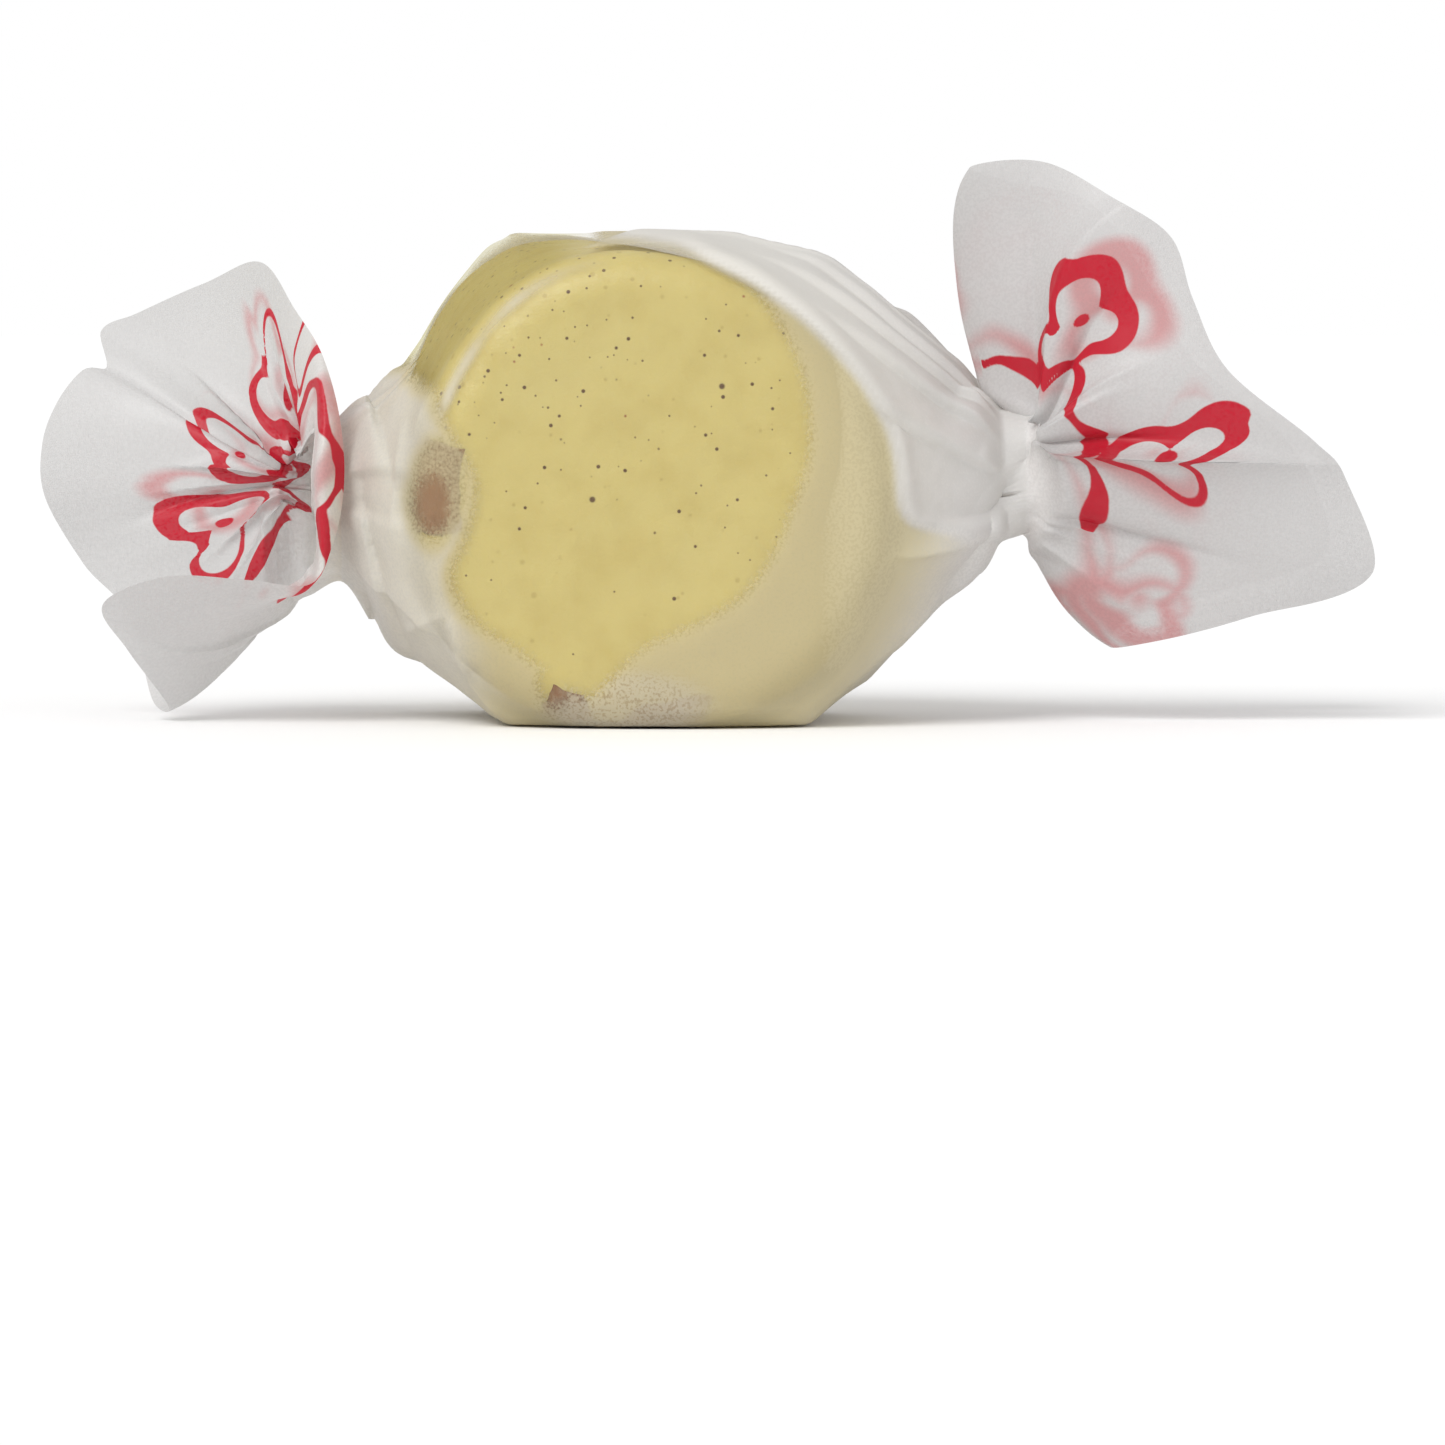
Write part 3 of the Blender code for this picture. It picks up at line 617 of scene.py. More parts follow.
def throat_share(angle, throat):
    """How far the paper at each angle is drawn into the throat, 0 to 1."""
    middle = math.radians((throat["from"] + throat["to"]) / 2)
    half = math.radians((throat["to"] - throat["from"]) / 2)
    return 1 - smooth_step((np.abs(wrap_angle(angle - middle)) - half + 0.25) / 0.5)


def throat_ring(angle, throat):
    """Points round the throat, whose mouth looks outwards and towards the front."""
    across = np.array([0.55 * -throat["side"], -0.83, 0.0])
    ring = np.cos(angle)[:, None] * across + np.sin(angle)[:, None] * np.array([0, 0, 1.0])
    return (np.array(throat["at"]) + throat["radius"] * ring) * MM


def fan_folds(angle, share, away, folds, rng):
    """Creases that run out from the neck, a listed few and some smaller random ones."""
    height = np.zeros_like(away)
    lowest, highest = (0, -0.35, 0.3, 0.02, 0.3), (360, 0.35, 0.6, 0.02, 0.8)
    small = [tuple(rng.uniform(a, b) if a < b else a for a, b in zip(lowest, highest))
             for _ in range(RANDOM_FOLDS)]
    for at, rise, width, start, end in folds + small:
        bend = FOLD_WANDER * np.sin(3.0 * share + at)
        off = wrap_angle(angle - math.radians(at) + bend) * (away + 1.0 * MM)
        wide = width * MM * (0.45 + 0.9 * share) * np.where(off > 0, 0.35, 1.4)
        hold = smooth_step((share - start) / 0.12) * (1 - smooth_step((share - 0.35 * end) / (0.65 * end)))
        height += rise * MM * hold * np.exp(-np.abs(off) / wide)
    return height


def along_average(rows, times):
    """Evens out the way the paper runs outwards, with its first and last rows kept."""
    for _ in range(times):
        middle = (rows[:-2] + 2 * rows[1:-1] + rows[2:]) / 4
        rows = np.concatenate([rows[:1], middle, rows[-1:]])
    return rows


def lean_share(angle, lean):
    """How far the paper at each angle leans, 0 to 1."""
    off = wrap_angle(angle - math.radians(lean["angle"])) / math.radians(lean["spread"])
    return np.exp(-(off**2))


def lean_shift(angle, leans, kind):
    """How far all the leans of an end shift the paper at each angle."""
    return sum(lean_share(angle, lean)[:, None] * np.array(lean[kind]) * MM for lean in leans)


def calm_share(angle, leans):
    """How much of its folds the paper keeps at each angle: the paper that leans is smoother."""
    return 1 - 0.75 * np.minimum(sum(lean_share(angle, lean) for lean in leans), 1)


def fan_sheet(angle, ring, edge, throat, leans, count):
    """The smooth sheet of a flared end: from the neck past the throat and out to the edge, with
    the way out from the neck, the share of it at each row, and its length, at each angle."""
    away = ring - ring.mean(0)
    away[:, 0] = 0
    away /= np.linalg.norm(away, axis=1)[:, None]
    length = np.linalg.norm(edge - ring, axis=1)[:, None]
    drawn = throat_share(angle, throat)[:, None]
    first = ring + np.array([throat["side"], 0, 0]) * np.minimum(FAN_FIRST, 0.3 * length)
    first = first + lean_shift(angle, leans, "start")
    first = first * (1 - drawn) + throat_ring(angle, throat) * drawn
    belly = FAN_BELLY + FAN_ROLL[throat["side"]] * (1 - drawn) * np.exp(-((length / FAN_ROLL_LENGTH) ** 2))
    bend = 0.45 * first + 0.55 * edge + away * belly * length + lean_shift(angle, leans, "by")
    steps = np.linspace(0, 1, count + 1)
    steps = steps * (0.75 + 0.25 * steps)
    rows = []
    for step in steps:
        u = max(step - THROAT_AT, 0) / (1 - THROAT_AT)
        near = min(step / THROAT_AT, 1)
        start = ring * (1 - near) + first * near
        rows.append((1 - u) ** 2 * start + 2 * u * (1 - u) * bend + u**2 * edge)
    return along_average(np.array(rows), max(count // 6, 1)), away, steps[:, None], length[:, 0]


def fan_points(angle, ring, table, kind, throat, leans, folds):
    """A flared end with its folds, one row for each step out from the neck."""
    side = throat["side"]
    edge = edge_point(table, angle)
    rows, away, share, length = fan_sheet(angle, ring, edge, throat, leans, FAN_ROWS)
    normal = surface_normals(rows)
    normal *= np.sign((normal[1] * away).sum(-1).mean())
    rng = np.random.default_rng(SEED + side)
    turned = np.repeat(angle[None, :], len(share), axis=0)
    along = np.repeat(ring[0, 0] - kind["neck"] + share * FAN_PLEAT_RUN * side, len(angle), axis=1)
    lift = pleats(turned, along, kind) * (1 - smooth_step(share / PLEAT_END))
    lift += fine_pleats(turned, along, kind) * (1 - smooth_step(share / FINE_PLEAT_END))
    lift *= smooth_step(share / PLEAT_START)
    lift += fan_folds(turned, share, sheet_distance(rows), folds, rng)
    creases = crumple(rows, rng, FAN_CRUMPLE["size"], FAN_CRUMPLE["count"])
    lift += FAN_CRUMPLE["height"] * creases * smooth_step(share / 0.3)
    long = smooth_step((length - SHORT_PAPER["from"]) / SHORT_PAPER["span"]) * calm_share(angle, leans)
    keep = 1 - (1 - long) * smooth_step(share / 0.2) * SHORT_PAPER["calm"]
    lift += FAN_SWELL * noise_at(rows, FAN_PUFF, 4.0 + side) * smooth_step(share / 0.5)
    return (rows + normal * (lift * keep)[..., None])[1:]


def sheet_distance(rows):
    """Distance along the paper from the first row to each point."""
    step = np.linalg.norm(np.diff(rows, axis=0), axis=-1)
    return np.concatenate([np.zeros_like(step[:1]), np.cumsum(step, axis=0)])


def ink_distance(angle, away, phase, size):
    """Signed distance in millimetres into the print: petals in outline, a wavy line and dots."""
    out = away / MM + PRINT_START
    x, y = out * np.cos(angle), out * np.sin(angle)
    wave = PRINT_LINE["middle"] + PRINT_LINE["swing"] * np.sin(PRINT_LINE["waves"] * angle + phase)
    slope = PRINT_LINE["swing"] * PRINT_LINE["waves"] * np.cos(PRINT_LINE["waves"] * angle + phase) / wave
    thick = PRINT_LINE["thick"] * (1 + 0.5 * np.sin(2 * PRINT_LINE["waves"] * angle))
    best = thick - np.abs(out - wave) / np.hypot(1, slope)
    for k in range(PETALS["count"]):
        turn = phase + math.tau * (k + 0.12 * math.sin(4 * k + phase)) / PETALS["count"]
        middle = PETALS["middle"] + PETALS["swing"] * math.sin(2.4 * k + phase)
        px, py = x - middle * math.cos(turn), y - middle * math.sin(turn)
        reach, round_it = np.hypot(px, py), np.arctan2(py, px) - turn
        lobes = 1 + 0.30 * np.cos(3 * round_it + 0.8 * k) + 0.16 * np.cos(2 * round_it + k)
        thick = PETALS["thick"] * (1 + 0.62 * np.cos(round_it + 1.1 + 2.0 * k))
        best = np.maximum(best, thick - np.abs(reach - size * lobes))
        best = np.maximum(best, PETALS["dot"] * (0.7 + 0.3 * (k % 2)) - reach)
    return best


def outline_distance(outline, x, z):
    """Signed distance in millimetres into an outline drawn on the front."""
    corners = np.array(outline)
    for _ in range(3):  # cut the corners to round them
        after = np.roll(corners, -1, axis=0)
        corners = np.stack([0.75 * corners + 0.25 * after, 0.25 * corners + 0.75 * after], 1).reshape(-1, 2)
    after = np.roll(corners, -1, axis=0)
    point = np.stack([x, z], -1).reshape(-1, 2) / MM
    nearest = np.full(len(point), np.inf)
    inside = np.zeros(len(point), bool)
    for a, b in zip(corners, after):
        edge = b - a
        t = np.clip(((point - a) @ edge) / (edge @ edge), 0, 1)
        nearest = np.minimum(nearest, np.linalg.norm(point - a - t[:, None] * edge, axis=1))
        crosses = (a[1] > point[:, 1]) != (b[1] > point[:, 1])
        rise = b[1] - a[1] if b[1] != a[1] else 1e-9
        inside ^= crosses & (point[:, 0] < (point[:, 1] - a[1]) * edge[0] / rise + a[0])
    return (np.where(inside, nearest, -nearest)).reshape(x.shape)


def noise_at(points, scale, offset):
    """Smooth noise of about -1 to 1 at each point."""
    flat = points.reshape(-1, 3) / scale
    shift = Vector((offset, 1.7 * offset, 0.6 * offset))
    return np.array([noise.noise(Vector(p) + shift) for p in flat]).reshape(points.shape[:-1])


def front_cling(points):
    x, y, z = points[..., 0], points[..., 1], points[..., 2]
    inside = outline_distance(CLING_OUTLINE, x, z)
    for spot_x, spot_z, wide, high, most in CLING_SPOTS:
        away = np.hypot((x / MM - spot_x) / wide, (z / MM - spot_z) / high)
        inside = np.maximum(inside, np.minimum((1 - away) * min(wide, high), most))
    return np.minimum(inside, (-y / MM - CLING_FRONT_DEPTH) * 1.4)


def back_cling(points, wander):
    cx, cz = candy_centre(CANDY_HALF_DEPTH)
    away = np.hypot(points[..., 0] - cx - CLING_BACK["aside"] * MM, points[..., 2] - cz) / MM
    inside = CLING_BACK["radius"] - away + 2 * wander
    return np.minimum(inside, (points[..., 1] / MM - CLING_BACK["depth"]) * 1.5)


def rim_cling(points, wander):
    x, y, z = points[..., 0], points[..., 1], points[..., 2]
    degrees = np.degrees(np.arctan2(z - CANDY_CENTRE_Z, x - CANDY_SHIFT))
    inside = np.minimum(degrees - CLING_RIM["from"], CLING_RIM["to"] - degrees)
    inside = inside * math.radians(CANDY_RADIUS / MM)
    inside = np.minimum(inside, CLING_RIM["depth"] - y / MM) + wander
    reach = CLING_RIM["reach"] + 4 * smooth_step((degrees - CLING_RIM["free from"]) / 10)
    return np.minimum(inside, 2 * (reach - candy_distance(x, y, z) / MM))


def cling_distance(points):
    """How far inside a clinging patch each point is, in millimetres, all round the candy."""
    wander = 0.7 * noise_at(points, 5 * MM, 3.1) + 0.3 * noise_at(points, 1.6 * MM, 6.1)
    inside = np.maximum(front_cling(points), rim_cling(points, wander))
    return np.maximum(inside, back_cling(points, wander))


def rim_shine(points):
    """The painted highlight where the paper bends over the candy's front rim: a bright line, 0 to 1."""
    x, y, z = points[..., 0], points[..., 1], points[..., 2]
    cx, cz = candy_centre(-CANDY_HALF_DEPTH)
    angle = np.arctan2(z - cz, x - cx)
    off = np.hypot(x - cx, z - cz) - candy_radius(angle, -CANDY_HALF_DEPTH) + RIM_SHINE["inset"] * MM
    line = 1 - smooth_step(np.abs(off) / (RIM_SHINE["width"] * MM))
    turn = (np.degrees(angle) - RIM_SHINE["from"]) / (RIM_SHINE["to"] - RIM_SHINE["from"])
    ends = smooth_step(turn / 0.2) * smooth_step((1 - turn) / 0.2)
    return line * ends * (y < 0) * (0.6 + 0.4 * noise_at(points, 2 * MM, 2.3))


def ridge_height(points):
    """Height of the small ridges on the front at each point."""
    place = np.stack([points[..., 0], points[..., 2]], -1) / MM
    height = np.zeros(points.shape[:-1])
    for x0, z0, x1, z1, rise, width in FRONT_RIDGES:
        start, way = np.array([x0, z0]), np.array([x1 - x0, z1 - z0])
        share = np.clip(((place - start) @ way) / (way @ way), 0, 1)
        off = np.linalg.norm(place - start - share[..., None] * way, axis=-1)
        taper = smooth_step((share + 0.15) / 0.4) * smooth_step((1.15 - share) / 0.4)
        height = np.maximum(height, rise * taper * np.exp(-off / width))
    return height * MM * smooth_step(-points[..., 1] / (1.5 * MM))


def side_shade_share(points):
    """Where painted shade darkens the candy's upper left side seen through clear paper, 0 to 1."""
    degrees = np.degrees(np.arctan2(points[..., 2] - CANDY_CENTRE_Z, points[..., 0] - CANDY_SHIFT))
    inside = np.minimum(degrees - CLING_RIM["from"], CLING_RIM["to"] + 12 - degrees) / 12
    depth = points[..., 1] / MM
    return smooth_step(inside) * smooth_step((depth + 9.2) / 1.5) * smooth_step((8.8 - depth) / 1.5)


def drape_distance(points):
    """How far inside the second layer each point of the front is, in millimetres."""
    x, y, z = points[..., 0], points[..., 1], points[..., 2]
    front = outline_distance(DRAPE_OUTLINE, x, z) + 0.15 * noise_at(points, 2.5 * MM, 8.8)
    return front - 6.0 * smooth_step((y / MM + 2.0) / 5.0)


def add_mesh(name, rows, closed_around, attributes, look, node, normals=None):
    """Makes a piece from a grid of points and gives it its attributes, material and frame ties."""
    count, around = rows.shape[:2]
    index = np.arange(count * around).reshape(count, around)
    after = np.roll(index, -1, axis=1) if closed_around else index[:, 1:]
    start = index if closed_around else index[:, :-1]
    quads = np.stack([start[:-1], after[:-1], after[1:], start[1:]], -1).reshape(-1, 4)
    mesh = bpy.data.meshes.new(name)
    mesh.from_pydata(rows.reshape(-1, 3).tolist(), [], quads.tolist())
    for key, values in attributes.items():
        layer = mesh.attributes.new(key, "FLOAT", "POINT")
        layer.data.foreach_set("value", values.reshape(-1).astype(np.float32))
    mesh.shade_smooth()
    if normals is not None:
        mesh.normals_split_custom_set_from_vertices(normals.reshape(-1, 3).tolist())
    mesh.materials.append(look)
    piece = bpy.data.objects.new(name, mesh)
    bpy.context.scene.collection.objects.link(piece)
    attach(piece, "root")
    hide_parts(node)
    return piece


def ease_join(rows, at):
    """Rounds the join between the body and an end, a few rows to each side."""
    near = slice(at - JOIN_ROWS, at + JOIN_ROWS + 1)
    for _ in range(JOIN_TIMES):
        part = rows[near]
        part[1:-1] = (part[:-2] + 2 * part[1:-1] + part[2:]) / 4


def add_gather(name, ring, throat, look):
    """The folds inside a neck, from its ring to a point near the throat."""
    angle = np.arange(len(ring)) * math.tau / len(ring)
    out = np.array([throat["side"], 0, 0])
    middle = (ring.mean(0) + np.array(throat["at"]) * MM) / 2
    middle[0] = ring[0, 0] + throat["side"] * GATHER_OUT
    share = np.linspace(0, 1, GATHER_ROWS)[:, None]
    turns = GATHER_FOLDS["count"] * (angle[None, :] + GATHER_FOLDS["spiral"] * share) / math.tau
    wave = fold_wave(turns + 0.3 * np.sin(2 * angle)[None, :]) + 0.4 * fold_wave(2.3 * turns + 0.2)
    lift = GATHER_FOLDS["height"] * wave * smooth_step(share / 0.3) * (1 - 0.8 * share)
    rows = ring * (1 - share[..., None]) + middle * share[..., None] + out * lift[..., None]
    fill = dict.fromkeys(("cling", "ink", "blush"), NOWHERE)
    fill.update(dict.fromkeys(("shine", "frost", "side", "veil", "packed"), 0.0))
    fill.update({"stand": GATHER_STAND, "double": 1.0})
    values = {key: np.full(lift.shape, value) for key, value in fill.items()}
    add_mesh(name, rows, True, values, look, "wrapper")


def body_shift(body, clings, drape):
    """How far the sheet stands out between the necks: its second layer, its small ridges, and the
    patches that stick to the candy."""
    layer = DRAPE_STEP * smooth_step((drape + 0.2) / 0.6) * (1 - smooth_step((drape - 0.5) / DRAPE_FADE))
    layer += DRAPE_CREST * np.exp(-(((drape - 0.4) / 0.45) ** 2))
    hold = smooth_step((clings + 0.7) / 1.6)
    height = layer + ridge_height(body) - CLING * hold
    return outward_normals(body, 0) * height[..., None]


def whole_sheet(values, outside):
    """A grid over the whole sheet that holds the given values between the necks."""
    grid = np.full((LAST_ROW + FAN_ROWS, AROUND), outside)
    grid[FIRST_ROW:LAST_ROW] = values
    return grid


def body_values(body, clings, drape):
    """How the sheet looks between the necks, for the paper's material."""
    x, z = body[..., 0] / MM, body[..., 2] / MM
    layered = smooth_step((drape + 0.3) / 0.5)
    aside = smooth_step((-x - ASIDE["from"]) / ASIDE["span"]) * smooth_step((-clings - 0.2) / 0.8)
    frost_x, frost_z = FROST["at"]
    frost_wide, frost_high = FROST["half"]
    frosted = 1 - np.hypot((x - frost_x) / frost_wide, (z - frost_z) / frost_high)
    veil = smooth_step((x - VEIL["from"]) / (VEIL["to"] - VEIL["from"]))
    # painted highlight: the top of the second layer is made whiter
    top = smooth_step((z - DRAPE_TOP_HIGHLIGHT[0]) / (DRAPE_TOP_HIGHLIGHT[1] - DRAPE_TOP_HIGHLIGHT[0]))
    return {
        "cling": whole_sheet(clings, NOWHERE),
        "double": whole_sheet(np.maximum(layered, ASIDE["share"] * aside), 0.0),
        "shine": whole_sheet(rim_shine(body), 0.0),
        "side": whole_sheet(side_shade_share(body), 0.0),
        "frost": whole_sheet(smooth_step(frosted / 0.6) * (body[..., 1] < 0), 0.0),
        "veil": whole_sheet(veil * VEIL["share"] * smooth_step((-clings - 0.8) / 1.2), 0.0),
        "packed": whole_sheet(top * layered, 0.0),
    }


def knot_highlight_share(rows):
    """Where the right neck's twisted paper is many layers thick and painted whiter against its shade, 0 to
    1.
    """
    x = rows[..., 0] / MM
    share = smooth_step((x - PACKED[0]) / 2.5) * (1 - smooth_step((x - PACKED[1]) / 2.0))
    return share * (1 - smooth_step((np.arange(len(rows)) - LAST_ROW) / PACKED_ROWS))[:, None]


def print_values(rows, angle):
    """Depth in millimetres into the ink of the two ends, and into the ink that shows from behind."""
    ink = whole_sheet(NOWHERE, NOWHERE)
    blush = ink.copy()
    cloud = 1.3 * noise_at(rows, 5 * MM, 7.7) - 0.35
    turned = np.repeat(angle[None, :], FAN_ROWS, axis=0)
    ends = (
        (LEFT_INK, slice(FIRST_ROW), sheet_distance(rows[FIRST_ROW::-1])[:0:-1]),
        (RIGHT_INK, slice(LAST_ROW, None), sheet_distance(rows[LAST_ROW - 1 :])[1:]),
    )
    for kind, part, away in ends:
        share = throat_share(turned, kind)
        printed = ink_distance(turned, away, kind["phase"], kind["petal"])
        behind = ink_distance(turned + BLUSH_TURN, away, kind["behind"], kind["petal"]) + cloud[part]
        behind = np.maximum(behind, np.where(share < 0.5, printed - 0.2, NOWHERE))
        blush[part] = behind - kind["bare"] * (1 - share)
        ink[part] = np.minimum(printed, INK_LIMIT * (2 * share - 1))
    return {"ink": ink, "blush": blush}


def add_paper():
    angle = np.arange(AROUND) * math.tau / AROUND
    body = body_points(angle)
    left = fan_points(angle, body[0], LEFT_EDGE, LEFT_PLEATS, LEFT_THROAT, LEFT_LEANS, LEFT_FAN_FOLDS)
    right = fan_points(angle, body[-1], RIGHT_EDGE, RIGHT_PLEATS, RIGHT_THROAT, RIGHT_LEANS, RIGHT_FAN_FOLDS)
    clings = cling_distance(body)
    drape = drape_distance(body)
    body = body + body_shift(body, clings, drape)
    body[..., 2] = np.maximum(body[..., 2], PAPER_FLOOR)
    rows = np.concatenate([left[::-1], body, right])
    ease_join(rows, LAST_ROW - 1)
    ease_join(rows, FIRST_ROW)
    values = {**body_values(body, clings, drape), **print_values(rows, angle)}
    values["stand"] = candy_distance(rows[..., 0], rows[..., 1], rows[..., 2]) / MM
    values["packed"] = np.maximum(values["packed"], knot_highlight_share(rows))
    normals = surface_normals(rows)
    look = paper_look()
    add_gather("wax_left_gather", rows[FIRST_ROW], LEFT_THROAT, look)
    add_gather("wax_right_gather", rows[LAST_ROW - 1], RIGHT_THROAT, look)
    pieces = {
        "wax_body": slice(FIRST_ROW, LAST_ROW),
        "wax_left_end": slice(0, FIRST_ROW + 1),
        "wax_right_end": slice(LAST_ROW - 1, len(rows)),
    }
    for name, part in pieces.items():
        shown = {key: grid[part] for key, grid in values.items()}
        add_mesh(name, rows[part], True, shown, look, "wrapper", normals[part])


def candy_surface(y, angle, inset):
    """Points of one ring of the shown candy, an inset within its full radius."""
    cx, cz = candy_centre(y)
    reach = candy_radius(angle, y) - inset
    z = cz + reach * np.sin(angle)
    z = np.where(z < CANDY_FLOOR, CANDY_FLOOR + 0.15 * (z - CANDY_FLOOR), z)
    return np.stack([cx + reach * np.cos(angle), np.broadcast_to(y, z.shape), z], -1)


def rim_profile(edge, steps):
    """Depth and inset of each ring of the rounded front rim, from the face to the side."""
    inner = CANDY_HALF_DEPTH - CANDY_EDGE
    turns = np.radians(np.linspace(90, 0, steps))
    return [(-(inner + edge * math.sin(t)), CANDY_EDGE - edge * math.cos(t)) for t in turns]


def candy_profile():
    """Depth and inset of each ring of the log, from the front face's middle to the back's."""
    edge = CANDY_EDGE + CANDY_GROW
    inner = CANDY_HALF_DEPTH - CANDY_EDGE
    face = [(-(inner + edge), CANDY_RADIUS - (CANDY_RADIUS - CANDY_EDGE) * k / CANDY_FACE_RINGS)
            for k in range(1, CANDY_FACE_RINGS)]
    front = face + rim_profile(edge, CANDY_RIM_RINGS)
    side = [(y, -CANDY_GROW) for y in np.linspace(-inner, inner, CANDY_SIDE_RINGS)[1:-1]]
    return front + side + [(-y, inset) for y, inset in reversed(front)]


def fill_ends(piece):
    """Closes the small round holes in the middle of the two faces."""
    mesh = bmesh.new()
    mesh.from_mesh(piece.data)
    bmesh.ops.holes_fill(mesh, edges=[edge for edge in mesh.edges if edge.is_boundary])
    mesh.to_mesh(piece.data)
    mesh.free()


def add_cream():
    angle = -math.pi + np.arange(CANDY_AROUND) * math.tau / CANDY_AROUND
    rows = np.array([candy_surface(y, angle, inset) for y, inset in candy_profile()])
    lumps = CANDY_LUMPS * (noise_at(rows, 2.6 * MM, 5.0) + 0.25 * noise_at(rows, 0.8 * MM, 9.0) - 1)
    rows = rows + outward_normals(rows, CANDY_SHIFT) * lumps[..., None]
    rows[..., 2] = np.maximum(rows[..., 2], CANDY_FLOOR * 0.6)
    fill_ends(add_mesh("cream_log", rows, True, {}, cream_look(), "taffy_cream"))


def stripe_profile():
    """Depth and inset of each row of a stripe: over the front rim, along the side, over the back."""
    edge = CANDY_EDGE + CANDY_GROW
    inner = CANDY_HALF_DEPTH - CANDY_EDGE
    onto_face = np.linspace(STRIPE_ON_FACE, 0, STRIPE_FACE_ROWS + 1)[:-1]
    front = [(-(inner + edge), CANDY_EDGE + inset) for inset in onto_face]
    front += rim_profile(edge, STRIPE_RIM_ROWS)
    side = [(y, -CANDY_GROW) for y in np.linspace(-inner, inner, STRIPE_SIDE_ROWS)[1:-1]]
    return front + side + [(-y, inset) for y, inset in reversed(front)]


def stripe_inside(rows, profile, side, angle, across):
    """How far inside the stripe's wandering border each point is, above 1 where it is full."""
    degrees, _, smear = STRIPES[side]
    run = np.concatenate([[0], np.cumsum([math.dist(a, b) for a, b in zip(profile, profile[1:])])])
    onto = (run[STRIPE_FACE_ROWS] - run)[:, None]
    at, spread, deep = STRIPE_DIPS.get(side, (0, 1, 0))
    dip = deep * MM * np.exp(-(np.degrees(wrap_angle(angle - math.radians(at))) / spread) ** 2)
    wander = 0.26 * noise_at(rows, 3.0 * MM, 2.0 + degrees) + 0.14 * noise_at(rows, 0.9 * MM, 6.0)
    inside = (1 + wander - np.abs(across)[None, :]) * 9
    return np.minimum(inside, (smear * MM - dip[None, :] + 0.9 * MM * wander - onto) / (0.25 * MM))


def add_caramel(side):
    """A caramel stripe: a thin patch over the log's side that sinks in along its uneven border."""
    degrees, width, _ = STRIPES[side]
    across = np.linspace(-STRIPE_SPARE, STRIPE_SPARE, STRIPE_ACROSS)
    angle = wrap_angle(math.radians(degrees) + across * width * MM / 2 / CANDY_RADIUS)
    profile = stripe_profile()
    rows = np.array([candy_surface(y, angle, inset) for y, inset in profile])
    raise_by = STRIPE_PROUD * (2.6 * smooth_step(stripe_inside(rows, profile, side, angle, across)) - 1.9)
    normal = outward_normals(rows, CANDY_SHIFT)
    normal[:, 0], normal[:, -1] = normal[:, 1], normal[:, -2]
    outer = rows + normal * raise_by[..., None]
    outer[..., 2] = np.maximum(outer[..., 2], CANDY_FLOOR * 0.4)
    add_mesh(f"caramel_stripe_{side}", outer, False, {}, caramel_look(), f"caramel_{side}")


